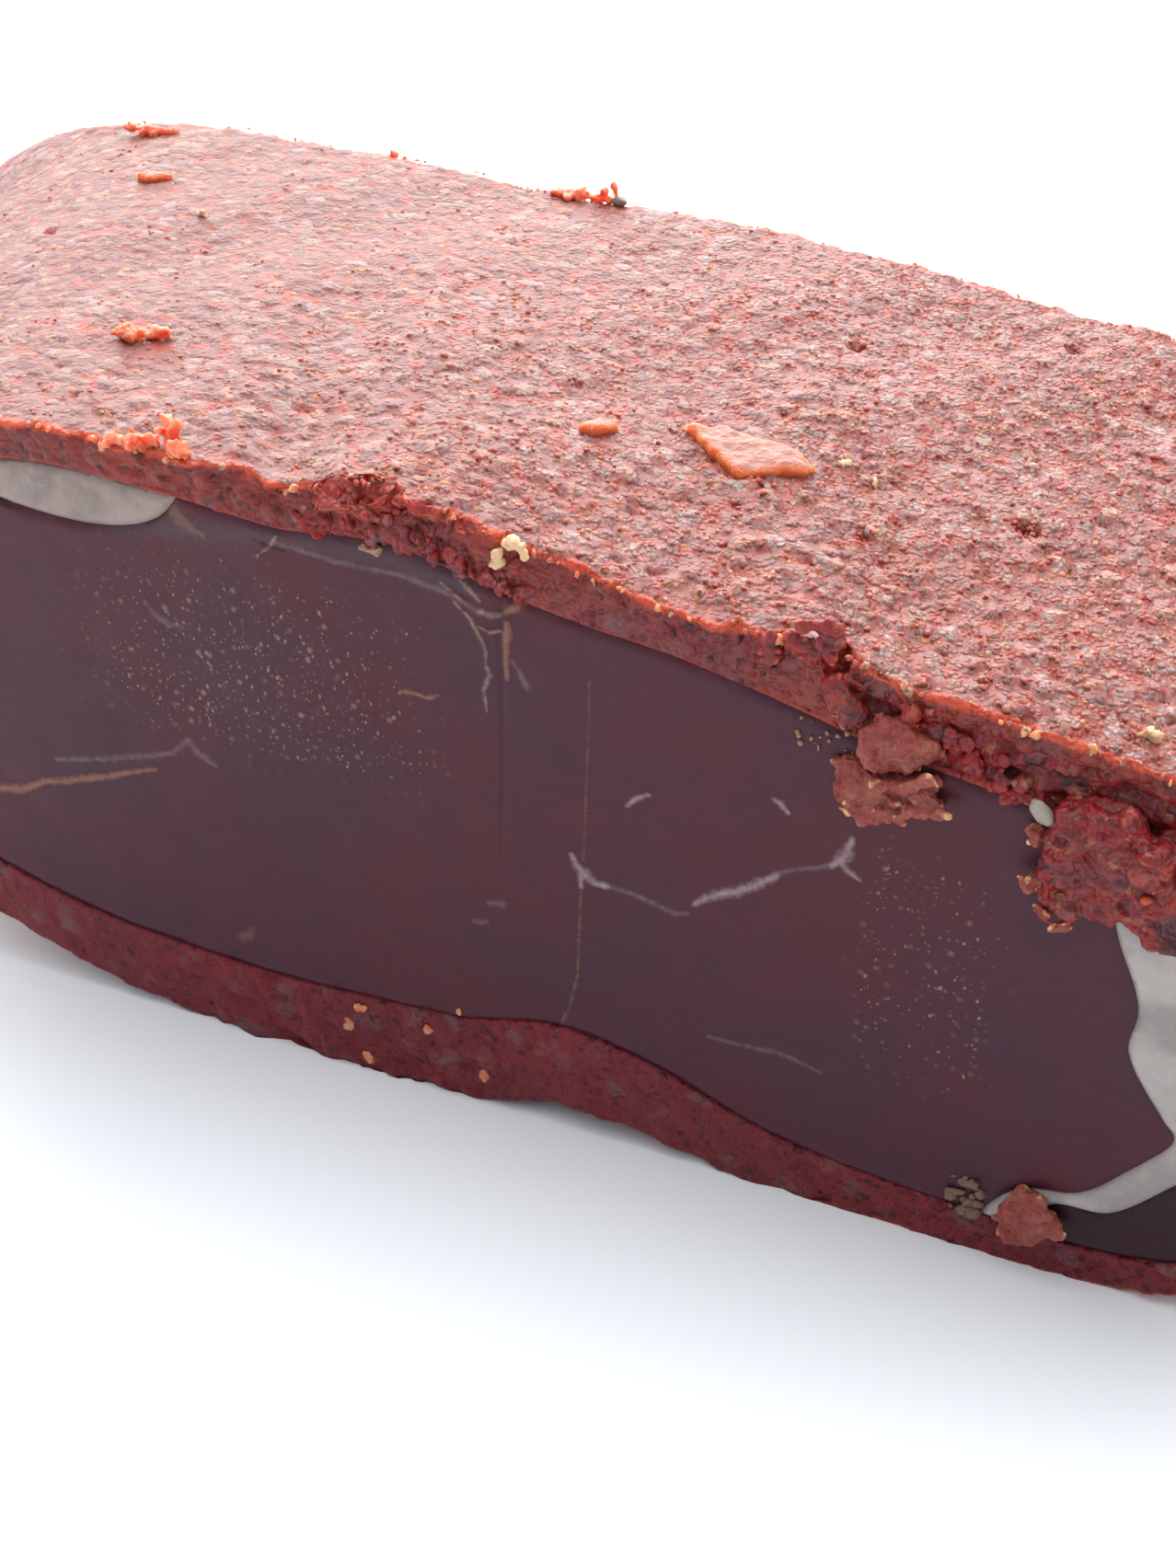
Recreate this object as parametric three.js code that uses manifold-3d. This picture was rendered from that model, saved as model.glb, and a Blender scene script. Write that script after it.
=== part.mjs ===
// A chunk of pastirma: air-dried beef in a red spice paste, cut off a slab with two knife cuts.
// Millimetres, +Z up, +X along the cut face, +Y from the front cut to the back cut.
// The origin ends up under the middle of the piece, on the surface that it rests on.

import * as THREE from 'three';
import { mergeVertices } from 'three/addons/utils/BufferGeometryUtils.js';
import Module from 'manifold-3d';

const wasm = await Module();
wasm.setup();

// ---- driving dimensions ----

const DEPTH = 39.6; // front cut to back cut
const FRONT_ENDS = { left: -47, right: 40 }; // the front cut, across the slab
const BACK_ENDS = { left: -63.5, right: 27 }; // the slab runs back at a slant
const NOSE_HEIGHT = { left: 17, right: 13.5 }; // where each rounded end stands out furthest
const NOSE_TOP = { left: 20, right: 12 }; // how far in from each end its upper rounding starts
const NOSE_BOTTOM = { left: 33, right: 18 };
const END_COAT = { left: 3.4, right: 2.3 }; // spice paste over the rounded ends
const GAP = 0.3; // between pieces that lie against each other
const WAVE = 0.3; // height of the slow waves in the paste
const SWAY = 0.35; // how far the fat wanders up and down through the slab
const OVERSHOOT = 0.05; // how far cutting bodies run past both cuts, as a share of the depth

// Each line holds [place across the front cut, height]. The slab's other sections stretch them.
const TOP_FRONT = line([[-47, 32.2], [-29, 32.6], [-19, 32.9], [-9, 33.3], [0, 31.3], [5, 30.3], [10, 30.5], [15, 29.1], [26, 27.9], [40, 26.5]]);
const TOP_BACK = line([[-47, 32.4], [-20, 32.4], [0, 31.7], [14, 31.0], [28, 29.3], [40, 28.2]]);
const BOTTOM = line([[-47, -0.2], [-7, -0.2], [-1, 1.2], [3, 1.1], [10, -0.2], [40, -0.2]]);
const TOP_COAT = line([[-47, 2.6], [-29, 1.8], [-19, 1.8], [-10, 2.6], [0, 2.5], [5, 2.1], [10, 3.3], [15, 3.4], [26, 3.9], [40, 3.5]]);
const BOTTOM_COAT = line([[-47, 3.2], [-28, 4.2], [-10, 5.2], [0, 5.0], [10, 3.7], [20, 2.7], [29, 1.7], [40, 1.6]]);

// Fat between the two muscles, as its two sides from the top of the meat down to the tongue's tip.
const SEAM_LEFT = [[23.6, 30], [24, 21], [25.6, 16.4], [25.5, 13.9], [27.4, 10.7], [28, 9.8], [26.2, 7.3], [24.4, 5.5], [21.6, 4.6], [19, 1]];
const SEAM_RIGHT = [[21.6, 1], [23.2, 4.3], [25.8, 4.7], [28.4, 7.2], [31.6, 10.5], [32.6, 15], [31.4, 20], [31.6, 30]];
// A flat strip of fat under the paste at the upper left, through the whole piece.
const CAP = { left: -36.5, right: -19.6, top: 33.5, bottom: 27.9, tip: 29.8 };

const RING = 64; // points round a section
const SECTIONS = 10; // steps from cut to cut

const COLOURS = {
  cemen: { color: 0x9c4a42, roughness: 0.85 },
  lean: { color: 0x4e2a32, roughness: 0.35 },
  fat: { color: 0xc4c0ac, roughness: 0.45 },
};

// ---- lines, sections and lofts ----

function line(knots) {
  const slopes = knots.map((knot, i) => {
    const before = knots[Math.max(i - 1, 0)];
    const after = knots[Math.min(i + 1, knots.length - 1)];
    return (after[1] - before[1]) / (after[0] - before[0]);
  });
  return (x) => {
    const held = THREE.MathUtils.clamp(x, knots[0][0], knots[knots.length - 1][0]);
    const i = Math.max(knots.findIndex((knot) => held <= knot[0]) - 1, 0);
    const [x0, z0] = knots[i];
    const [x1, z1] = knots[i + 1];
    const step = x1 - x0;
    const t = (held - x0) / step;
    const ease = t * t * (3 - 2 * t);
    const bend = t * (1 - t) * ((1 - t) * slopes[i] - t * slopes[i + 1]) * step;
    return z0 + (z1 - z0) * ease + bend;
  };
}

function rounding(distance, reach) {
  const t = 1 - Math.min(Math.max(distance, 0) / reach, 1);
  return Math.sqrt(1 - t * t);
}

// Slow waves over the outside of the paste.
function wave(x, y, phase) {
  return WAVE * (Math.sin(x / 4.1 + phase) * Math.cos(y / 5.3 - phase) + 0.6 * Math.sin(x / 2.3 - y / 3.1 + 2 * phase));
}

function endsAt(s) {
  return {
    left: THREE.MathUtils.lerp(FRONT_ENDS.left, BACK_ENDS.left, s),
    right: THREE.MathUtils.lerp(FRONT_ENDS.right, BACK_ENDS.right, s),
  };
}

// From a place across the front cut to the same place across another section.
function across(q, s) {
  const ends = endsAt(s);
  const t = (q - FRONT_ENDS.left) / (FRONT_ENDS.right - FRONT_ENDS.left);
  return THREE.MathUtils.lerp(ends.left, ends.right, t);
}

function yAt(s) {
  return (s - 0.5) * DEPTH;
}

// One point of a section: turn 0 is the left end, 0.25 the top, 0.5 the right end. inset 0 is the outside
// of the paste and 1 its inside; extra shrinks the section a little further.
function sectionPoint(turn, s, inset, extra = 0) {
  const left = FRONT_ENDS.left + inset * END_COAT.left + extra;
  const right = FRONT_ENDS.right - inset * END_COAT.right - extra;
  const angle = turn * 2 * Math.PI;
  const q = (left + right) / 2 - ((right - left) / 2) * Math.cos(angle);
  const above = turn < 0.5;
  const share = (q - left) / (right - left);
  const middle = THREE.MathUtils.lerp(NOSE_HEIGHT.left, NOSE_HEIGHT.right, share);
  const reach = above ? NOSE_TOP : NOSE_BOTTOM;
  const round = Math.min(
    rounding(q - left, reach.left - inset * END_COAT.left),
    rounding(right - q, reach.right - inset * END_COAT.right),
  );
  const x = across(q, s);
  const y = yAt(s);
  let edge;
  if (above) {
    const outside = THREE.MathUtils.lerp(TOP_FRONT(q), TOP_BACK(q), s) + wave(x, y, 0);
    edge = outside - inset * TOP_COAT(q) - extra;
  } else {
    const outside = BOTTOM(q) + 0.8 * wave(x, y, 2) - 0.2;
    edge = outside + inset * BOTTOM_COAT(q) + extra;
  }
  let z = middle + (edge - middle) * round;
  if (inset === 0) z = Math.max(z, 0);
  return new THREE.Vector3(x, y, z);
}

// A closed body through rings of equal length, one per section, with flat ends.
function loft(rings) {
  const count = rings[0].length;
  const positions = rings.flat().flatMap((p) => [p.x, p.y, p.z]);
  const faces = [];
  for (let j = 0; j + 1 < rings.length; j++) {
    for (let i = 0; i < count; i++) {
      const a = j * count + i;
      const b = j * count + ((i + 1) % count);
      faces.push(a, b, b + count, a, b + count, a + count);
    }
  }
  const last = (rings.length - 1) * count;
  for (const [a, b, c] of endFaces(rings[0])) faces.push(a, c, b);
  for (const [a, b, c] of endFaces(rings.at(-1))) faces.push(last + a, last + b, last + c);
  const geometry = new THREE.BufferGeometry();
  geometry.setAttribute('position', new THREE.Float32BufferAttribute(positions, 3));
  geometry.setIndex(faces);
  return outwards(geometry);
}

// Triangles over a ring, wound the way the ring runs.
function endFaces(ring) {
  const outline = ring.map((p) => new THREE.Vector2(p.x, p.z));
  const clockwise = THREE.ShapeUtils.isClockWise(outline);
  return THREE.ShapeUtils.triangulateShape(outline, []).map(([a, b, c]) => {
    const turnsClockwise = THREE.ShapeUtils.isClockWise([outline[a], outline[b], outline[c]]);
    return turnsClockwise === clockwise ? [a, b, c] : [a, c, b];
  });
}

function outwards(geometry) {
  const p = geometry.attributes.position;
  const index = geometry.index.array;
  const [a, b, c] = [new THREE.Vector3(), new THREE.Vector3(), new THREE.Vector3()];
  let volume = 0;
  for (let i = 0; i < index.length; i += 3) {
    a.fromBufferAttribute(p, index[i]);
    b.fromBufferAttribute(p, index[i + 1]);
    c.fromBufferAttribute(p, index[i + 2]);
    volume += a.dot(b.cross(c));
  }
  if (volume < 0) {
    for (let i = 0; i < index.length; i += 3) [index[i + 1], index[i + 2]] = [index[i + 2], index[i + 1]];
  }
  return geometry;
}

function slabLoft(inset, extra, overshoot) {
  const rings = [];
  for (let j = 0; j <= SECTIONS; j++) {
    const s = -overshoot + (j / SECTIONS) * (1 + 2 * overshoot);
    const ring = [];
    for (let i = 0; i < RING; i++) ring.push(sectionPoint(i / RING, s, inset, extra));
    rings.push(ring);
  }
  return solid(loft(rings));
}

// A region of the cut face, given as an outline in its places across and heights, run through the slab.
function throughSlab(outline, grow) {
  const points = grown(outline.map(([q, z]) => new THREE.Vector2(q, z)), grow);
  const steps = 6;
  const rings = [];
  for (let j = 0; j <= steps; j++) {
    const s = -OVERSHOOT + (j / steps) * (1 + 2 * OVERSHOOT);
    rings.push(points.map((p) => new THREE.Vector3(across(p.x, s), yAt(s), p.y + SWAY * Math.sin(3 * s + p.x / 5))));
  }
  return solid(loft(rings));
}

function grown(points, amount) {
  if (points.at(-1).equals(points[0])) points = points.slice(0, -1);
  const clockwise = THREE.ShapeUtils.isClockWise(points);
  return points.map((p, i) => {
    const before = points[(i + points.length - 1) % points.length];
    const after = points[(i + 1) % points.length];
    const along = after.clone().sub(before).normalize();
    const side = clockwise ? 1 : -1;
    return new THREE.Vector2(p.x - along.y * amount * side, p.y + along.x * amount * side);
  });
}

function smoothed(corners, count) {
  const curve = new THREE.CatmullRomCurve3(corners.map(([x, z]) => new THREE.Vector3(x, z, 0)));
  return curve.getSpacedPoints(count).map((p) => [p.x, p.y]);
}

// ---- broken pieces ----

function randomFrom(seed) {
  let state = seed;
  return () => {
    state = (state + 0x6d2b79f5) | 0;
    let t = Math.imul(state ^ (state >>> 15), 1 | state);
    t = (t + Math.imul(t ^ (t >>> 7), 61 | t)) ^ t;
    return ((t ^ (t >>> 14)) >>> 0) / 4294967296;
  };
}

// An uneven lump with the given half sizes, turned by the given angles in degrees.
function lump(centre, half, turned, seed, detail = 0) {
  const geometry = merged(new THREE.IcosahedronGeometry(1, detail));
  const random = randomFrom(seed);
  const p = geometry.attributes.position;
  for (let i = 0; i < p.count; i++) {
    const size = 0.78 + 0.34 * random();
    p.setXYZ(i, p.getX(i) * size * half[0], p.getY(i) * size * half[1], p.getZ(i) * size * half[2]);
  }
  return placed(geometry, centre, turned);
}

// A thin broken flake: a ragged outline with the given half sizes, on a plate of the given thickness.
function flake(centre, half, thickness, turned, seed) {
  const random = randomFrom(seed);
  const corners = 9;
  const shape = new THREE.Shape();
  for (let i = 0; i < corners; i++) {
    const angle = (i / corners) * 2 * Math.PI;
    const size = 0.7 + 0.45 * random();
    const point = [half[0] * size * Math.cos(angle), half[1] * size * Math.sin(angle)];
    if (i === 0) shape.moveTo(...point);
    else shape.lineTo(...point);
  }
  const geometry = new THREE.ExtrudeGeometry(shape, { depth: thickness, bevelEnabled: false });
  return placed(merged(geometry), centre, turned);
}

function placed(geometry, centre, turned) {
  const [rx, ry, rz] = turned.map(THREE.MathUtils.degToRad);
  geometry.applyMatrix4(new THREE.Matrix4().makeRotationFromEuler(new THREE.Euler(rx, ry, rz, 'ZYX')));
  geometry.translate(...centre);
  return solid(geometry);
}

// ---- between three.js geometry and solids ----

function merged(geometry) {
  geometry.deleteAttribute('normal');
  geometry.deleteAttribute('uv');
  return mergeVertices(geometry, 1e-4);
}

function solid(geometry) {
  return new wasm.Manifold(
    new wasm.Mesh({
      numProp: 3,
      vertProperties: new Float32Array(geometry.attributes.position.array),
      triVerts: new Uint32Array(geometry.index.array),
    }),
  );
}

function largest(manifold) {
  const parts = manifold.decompose();
  return parts.reduce((a, b) => (a.volume() > b.volume() ? a : b));
}

function meshOf(name, manifold, look) {
  const made = manifold.getMesh();
  const geometry = new THREE.BufferGeometry();
  geometry.setAttribute('position', new THREE.BufferAttribute(new Float32Array(made.vertProperties), 3));
  geometry.setIndex(new THREE.BufferAttribute(new Uint32Array(made.triVerts), 1));
  geometry.computeVertexNormals();
  const mesh = new THREE.Mesh(geometry, new THREE.MeshStandardMaterial({ ...look, metalness: 0 }));
  mesh.name = name;
  return mesh;
}

// ---- the two muscles and their fat ----

const meat = slabLoft(1, GAP, 0);
const seamOutline = [...smoothed(SEAM_LEFT, 16), ...smoothed(SEAM_RIGHT, 13)];
const capOutline = smoothed(
  [[CAP.left, CAP.tip + 1.2], [CAP.left + 5, CAP.bottom + 0.9], [CAP.left + 12, CAP.bottom],
    [CAP.right - 1.6, CAP.tip - 0.9], [CAP.right, CAP.tip + 0.9], [CAP.right - 2, CAP.top], [CAP.left + 3, CAP.top]],
  14,
);

const seam = largest(meat.intersect(throughSlab(seamOutline, 0)));
const cap = largest(meat.intersect(throughSlab(capOutline, 0)));
const lean = meat
  .subtract(throughSlab(seamOutline, GAP))
  .subtract(throughSlab(capOutline, GAP))
  .decompose()
  .sort((a, b) => b.volume() - a.volume());

// ---- the spice paste, with what is broken out of it and what lies on it ----

const frontY = -DEPTH / 2;
const backY = DEPTH / 2;

function topAt(q, s) {
  const ends = FRONT_ENDS;
  const share = (q - ends.left) / (ends.right - ends.left);
  const turn = Math.acos(1 - 2 * share) / (2 * Math.PI);
  return sectionPoint(turn, s, 0);
}

const hollow = slabLoft(1, 0, OVERSHOOT / 2);
let coating = slabLoft(0, 0, 0).subtract(hollow);

// Torn places along the front upper edge: [place across, width, how far back, how deep].
const TORN = [[-11.5, 6.4, 1.5, 1.5], [-5.5, 4.2, 1.0, 1.3], [11.9, 1.6, 2.4, 1.8], [29.5, 3.4, 1.2, 1.2]];
TORN.forEach(([q, width, back, deep], i) => {
  const at = topAt(q, 0);
  coating = coating.subtract(lump([at.x, frontY, at.z], [width / 2, back, deep], [0, 0, 0], 40 + i, 1));
});

// Right of the break the lower layers of the paste stand back from the crust, in a row of hollows.
const RECESS = { from: 14.5, spacing: 2.9, count: 7, below: 2.3, half: [1.9, 0.8, 0.85], slope: 8 };
for (let i = 0; i < RECESS.count; i++) {
  const at = topAt(RECESS.from + RECESS.spacing * i, 0);
  const half = [RECESS.half[0], RECESS.half[1] + 0.1 * (i % 3), RECESS.half[2]];
  coating = coating.subtract(lump([at.x, frontY, at.z - RECESS.below], half, [0, RECESS.slope, 0], 60 + i, 0));
}

// Crumbs along both upper cut edges.
const edgeRandom = randomFrom(7);
for (let i = 0; i < 17; i++) {
  for (const s of [0, 1]) {
    const at = topAt(-36 + 4.4 * i + 1.6 * edgeRandom(), s);
    const half = [0.7 + 0.7 * edgeRandom(), 0.5 + 0.3 * edgeRandom(), 0.4 + 0.3 * edgeRandom()];
    const y = s === 0 ? frontY + 0.25 : backY - 0.25;
    coating = coating.add(lump([at.x, y, at.z - 0.35], half, [0, 20 * edgeRandom(), 40 * edgeRandom()], 100 + 2 * i + s));
  }
}

// What lies on top: [x, y, half sizes, thickness, turned about z].
const ON_TOP = [
  [2.6, -6.2, 3.7, 1.6, 0.7, -12],
  [-28.0, -9.4, 1.4, 0.7, 0.8, 30],
  [-4.5, -7.4, 1.0, 0.8, 0.6, 30],
  [-39.9, 10.5, 1.0, 0.5, 0.6, 25],
];
function topHeight(x, y) {
  const s = y / DEPTH + 0.5;
  const ends = endsAt(s);
  const share = (x - ends.left) / (ends.right - ends.left);
  return topAt(THREE.MathUtils.lerp(FRONT_ENDS.left, FRONT_ENDS.right, share), s).z;
}
ON_TOP.forEach(([x, y, halfX, halfY, thickness, turn], i) => {
  const z = topHeight(x, y) - 0.25;
  coating = coating.add(flake([x, y, z], [halfX, halfY], thickness + 0.25, [6, -4, turn], 200 + i));
});

// Lumps of paste that stand on the front upper edge at the left, and one on the back edge.
const EDGE_LUMPS = [
  [-21.5, 0, 1.3, 1.2, 0.8],
  [-19.2, 0, 1.2, 1.3, 0.9],
  [-3.2, 0, 0.9, 0.8, 0.9],
  [-2.3, 1, 1.9, 0.8, 0.9],
  [-29.0, 1, 2.3, 0.7, 0.7],
];
EDGE_LUMPS.forEach(([q, s, halfX, halfY, halfZ], i) => {
  const at = topAt(q, s);
  const y = s === 0 ? frontY + 0.8 : backY - 0.5;
  coating = coating.add(lump([at.x, y, at.z], [halfX, halfY, halfZ], [10, 12, 25], 300 + i, 1));
});

// The broken chunk that hangs from the break over the face of the meat: [x, height, half sizes, tilt].
const HANGING = [
  [14.2, 26.4, 2.2, 1.3, 1.3, 8],
  [14.4, 24.8, 2.3, 1.4, 1.2, -6],
  [13.5, 23.6, 1.7, 1.2, 1.0, 10],
  [15.7, 23.4, 1.6, 1.1, 0.7, -12],
];
const clearOfFace = frontY - GAP;
const faceBlock = placed(merged(new THREE.BoxGeometry(120, 6, 60)), [0, clearOfFace + 3, 0], [0, 0, 0]);
function facePiece(pieces, seed, outMost) {
  let made = null;
  pieces.forEach(([x, z, halfX, halfY, halfZ, tilt], i) => {
    const piece = lump([x, clearOfFace - outMost, z], [halfX, halfY, halfZ], [0, tilt, 0], seed + i, 1);
    made = made === null ? piece : made.add(piece);
  });
  return made;
}
// A chip of paste that clings to the lower edge of the cut.
const CHIP = [[22.4, 3.1, 1.7, 1.0, 1.0, -20]];
// Where these two pieces hold on to the paste: [x, height, half sizes].
const HOLDS = [[13.6, 27.4, 1.9, 1.2, 1.1], [22.2, 1.5, 1.3, 0.9, 0.8]];
for (const [x, z, halfX, halfY, halfZ] of HOLDS) {
  coating = coating.add(lump([x, frontY - 0.1, z], [halfX, halfY, halfZ], [0, 6, 0], 450, 1));
}
coating = coating.add(facePiece(HANGING, 400, 0.2).subtract(faceBlock));
coating = coating.add(facePiece(CHIP, 460, 0.1).subtract(faceBlock));
coating = largest(coating.subtract(hollow));

// The big chunk of broken paste that sticks to the face over the seam, with a pale seed at its corner.
const CHUNK = [
  [22.7, 24.0, 2.2, 1.6, 1.9, 0],
  [22.6, 22.1, 2.1, 1.4, 1.8, 0],
  [25.7, 23.3, 2.9, 2.0, 2.7, 0],
  [28.6, 22.3, 2.3, 1.7, 2.2, 0],
  [20.9, 25.2, 0.6, 0.6, 0.8, 25],
];
const chunk = largest(facePiece(CHUNK, 500, 0.1).subtract(faceBlock).subtract(coating));

// ---- the piece, set over its origin ----

const piece = new THREE.Group();
piece.add(meshOf('cemen_coating', coating, COLOURS.cemen));
piece.add(meshOf('cemen_chunk', chunk, COLOURS.cemen));
piece.add(meshOf('lean_main', lean[0], COLOURS.lean));
piece.add(meshOf('lean_side', lean[1], COLOURS.lean));
piece.add(meshOf('fat_seam', seam, COLOURS.fat));
piece.add(meshOf('fat_cap', cap, COLOURS.fat));

const bounds = new THREE.Box3().setFromObject(piece);
piece.position.set(-(bounds.min.x + bounds.max.x) / 2, -(bounds.min.y + bounds.max.y) / 2, -bounds.min.z);

export default piece;
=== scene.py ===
"""A chunk of pastirma: air-dried beef with its fat, in a coat of red spice paste, on a pale table.

The chunk is worked out in millimetres, in the slab's own places: q runs across the front cut, s runs
from the front cut (0) to the back cut (1), and inset runs from the outside of the paste (0) to its
inside (1). Meshes are made in metres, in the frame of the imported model.
"""

import itertools
import math

import bmesh
import bpy
import numpy as np
from bpy.props import FloatProperty, FloatVectorProperty, IntProperty, PointerProperty
from bpy.types import Operator, Panel, PropertyGroup
from mathutils import Euler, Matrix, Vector, geometry


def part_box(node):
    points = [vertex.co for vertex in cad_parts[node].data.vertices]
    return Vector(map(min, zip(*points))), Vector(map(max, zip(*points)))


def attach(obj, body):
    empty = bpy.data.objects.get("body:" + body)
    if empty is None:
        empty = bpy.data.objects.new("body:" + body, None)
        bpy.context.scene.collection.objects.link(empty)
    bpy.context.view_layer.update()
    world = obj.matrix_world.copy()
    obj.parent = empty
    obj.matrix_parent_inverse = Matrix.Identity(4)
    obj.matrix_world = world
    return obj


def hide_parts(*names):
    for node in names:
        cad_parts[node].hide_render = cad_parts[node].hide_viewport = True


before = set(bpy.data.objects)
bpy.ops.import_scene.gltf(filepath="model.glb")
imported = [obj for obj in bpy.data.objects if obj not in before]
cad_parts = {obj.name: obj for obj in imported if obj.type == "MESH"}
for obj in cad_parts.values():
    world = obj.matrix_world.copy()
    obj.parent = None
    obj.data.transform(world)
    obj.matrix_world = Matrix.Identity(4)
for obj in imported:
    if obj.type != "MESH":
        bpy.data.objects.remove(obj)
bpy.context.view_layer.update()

bl_info = {
    "name": "Pastirma chunk",
    "version": (1, 0, 0),
    "blender": (4, 5, 0),
    "location": "View3D > Sidebar > Pastirma",
    "description": "Builds a cut chunk of pastirma with its spice paste, fat and crumbs",
    "category": "Add Mesh",
}

MM = 0.001

# ---- the slab's driving dimensions, in millimetres ----

LEAN_LOW, LEAN_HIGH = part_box("lean_main")
COAT_LOW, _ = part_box("cemen_coating")
DEPTH = (LEAN_HIGH.y - LEAN_LOW.y) / MM  # front cut to back cut
FRONT_Y = -DEPTH / 2
BACK_Y = DEPTH / 2
FRONT_ENDS = (-47.0, 40.0)  # the front cut, across the slab
BACK_ENDS = (-63.5, 27.0)  # the slab runs back at a slant
NOSE_HEIGHT = (17.0, 13.5)  # where each rounded end stands out furthest
NOSE_TOP = (20.0, 12.0)  # how far in from each end its upper rounding starts
NOSE_BOTTOM = (33.0, 18.0)
END_COAT = (3.4, 2.3)  # paste over the rounded ends
WAVE = 0.15  # height of the slow waves in the paste
SWAY = 0.35  # how far the fat wanders up and down through the slab
MEAT_GAP = 0.06  # between the paste and the meat
OFFSET = np.array([COAT_LOW.x / MM - BACK_ENDS[0], (LEAN_LOW.y + LEAN_HIGH.y) / MM / 2, 0.0])

# Heights along the front cut, as (place across, height).
TOP_FRONT = (
    (-47, 32.2), (-29, 32.6), (-20, 32.85), (-17, 33.0), (-14.3, 32.35), (-11, 32.9), (-8.5, 33.05),
    (0, 31.3), (5, 30.3), (10, 30.4), (15, 29.0), (26, 27.75), (40, 26.4),
)
TOP_BACK = ((-47, 32.4), (-20, 32.4), (0, 31.7), (14, 31.0), (28, 29.3), (40, 28.2))
BOTTOM = ((-47, -0.2), (-7, -0.2), (-1, 1.2), (3, 1.1), (10, -0.2), (40, -0.2))
TOP_COAT = (
    (-47, 2.6), (-29, 1.8), (-20, 1.95), (-17, 2.4), (-14.3, 2.1), (-11, 2.45), (-8.5, 2.6), (0, 2.5),
    (5, 2.1), (10, 3.2), (15, 3.3), (26, 3.75), (40, 3.4),
)
BOTTOM_COAT = ((-47, 3.2), (-28, 4.2), (-10, 5.2), (0, 5.0), (10, 3.7), (20, 2.7), (29, 1.7), (40, 1.6))

# The fat between the two muscles: its left side downwards and its right side upwards.
SEAM_LEFT = (
    (23.6, 30), (24, 21), (25.6, 16.4), (25.5, 13.9), (27.4, 10.7), (28, 9.8), (26.2, 7.3), (24.4, 5.5),
    (21.6, 4.6), (19, 1),
)
SEAM_RIGHT = (
    (21.6, 1), (23.2, 4.3), (25.8, 4.7), (28.4, 7.2), (31.6, 10.5), (32.6, 15), (31.4, 20), (31.6, 30),
)
# The underside of the strip of fat under the paste at the upper left.
CAP_UNDER = ((-36.5, 31.0), (-31.5, 28.8), (-24.5, 27.9), (-21.2, 28.9), (-19.6, 30.7))

# ---- what shows on the front face of the meat, as (across, height, half width) ----

WHITE_VEINS = (
    ((-0.4, 16.6, 0.12), (-0.1, 16.1, 0.3), (0.3, 15.7, 0.42), (0.8, 15.4, 0.3), (1.4, 15.35, 0.18)),
    ((0.15, 15.6, 0.3), (0.1, 15.0, 0.1)),
    ((5.6, 15.6, 0.14), (6.3, 16.2, 0.3), (6.9, 16.6, 0.36), (7.6, 16.9, 0.42), (8.2, 17.3, 0.36),
     (8.8, 17.8, 0.3), (9.4, 18.3, 0.2)),
    ((11.9, 19.6, 0.14), (12.3, 20.0, 0.42), (12.55, 20.6, 0.36), (12.75, 21.3, 0.12)),
    ((12.2, 19.9, 0.3), (12.7, 19.5, 0.22), (13.2, 19.2, 0.08)),
    ((2.3, 20.0, 0.1), (2.7, 20.5, 0.17), (3.3, 20.9, 0.1)),
    ((9.1, 22.3, 0.1), (9.4, 22.2, 0.2), (9.8, 21.8, 0.1)),
)
GREY_VEINS = (
    ((1.2, 15.4, 0.2), (2.7, 15.25, 0.2), (3.9, 15.0, 0.24), (4.8, 14.8, 0.24), (5.3, 15.0, 0.14)),
    ((9.3, 18.4, 0.12), (10.5, 19.0, 0.13), (11.3, 19.3, 0.14), (12.0, 19.7, 0.2)),
    ((-22.2, 24.8, 0.1), (-21.8, 24.2, 0.2), (-21.1, 23.8, 0.34), (-20.2, 23.8, 0.1)),
    ((6.5, 8.1, 0.1), (10.2, 8.4, 0.16), (12.0, 8.0, 0.1)),
    ((-14.8, 29.5, 0.14), (-11.7, 29.2, 0.14), (-8.8, 29.3, 0.14), (-6.4, 29.0, 0.2), (-4.6, 28.3, 0.24)),
    ((-28.6, 14.3, 0.12), (-25.9, 15.0, 0.22), (-23.7, 15.7, 0.22), (-21.7, 16.4, 0.2),
     (-20.7, 17.4, 0.24), (-20.2, 16.9, 0.34), (-19.2, 16.4, 0.18)),
    ((-3.2, 26.2, 0.08), (-2.9, 25.7, 0.13), (-2.5, 25.0, 0.26)),
    ((-4.6, 12.6, 0.2), (-3.9, 12.8, 0.3)),
    ((-5.4, 11.3, 0.2), (-4.9, 11.4, 0.24)),
)
TAN_VEINS = (
    ((-33.0, 11.4, 0.3), (-31.9, 11.7, 0.34), (-31.1, 11.8, 0.36), (-30.3, 12.2, 0.26),
     (-29.4, 12.8, 0.26), (-27.9, 13.2, 0.26), (-26.2, 13.9, 0.28), (-25.5, 14.1, 0.26),
     (-24.4, 14.6, 0.18), (-22.6, 15.3, 0.1)),
    ((-3.35, 28.1, 0.18), (-3.35, 27.5, 0.26), (-3.45, 26.6, 0.22), (-3.5, 25.9, 0.17),
     (-3.45, 25.2, 0.15)),
    ((-3.4, 28.6, 0.2), (-2.9, 29.0, 0.3), (-2.6, 29.2, 0.15)),
    ((-8.8, 23.2, 0.1), (-8.2, 23.3, 0.16), (-7.4, 23.2, 0.12), (-6.9, 23.5, 0.06)),
)
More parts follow.
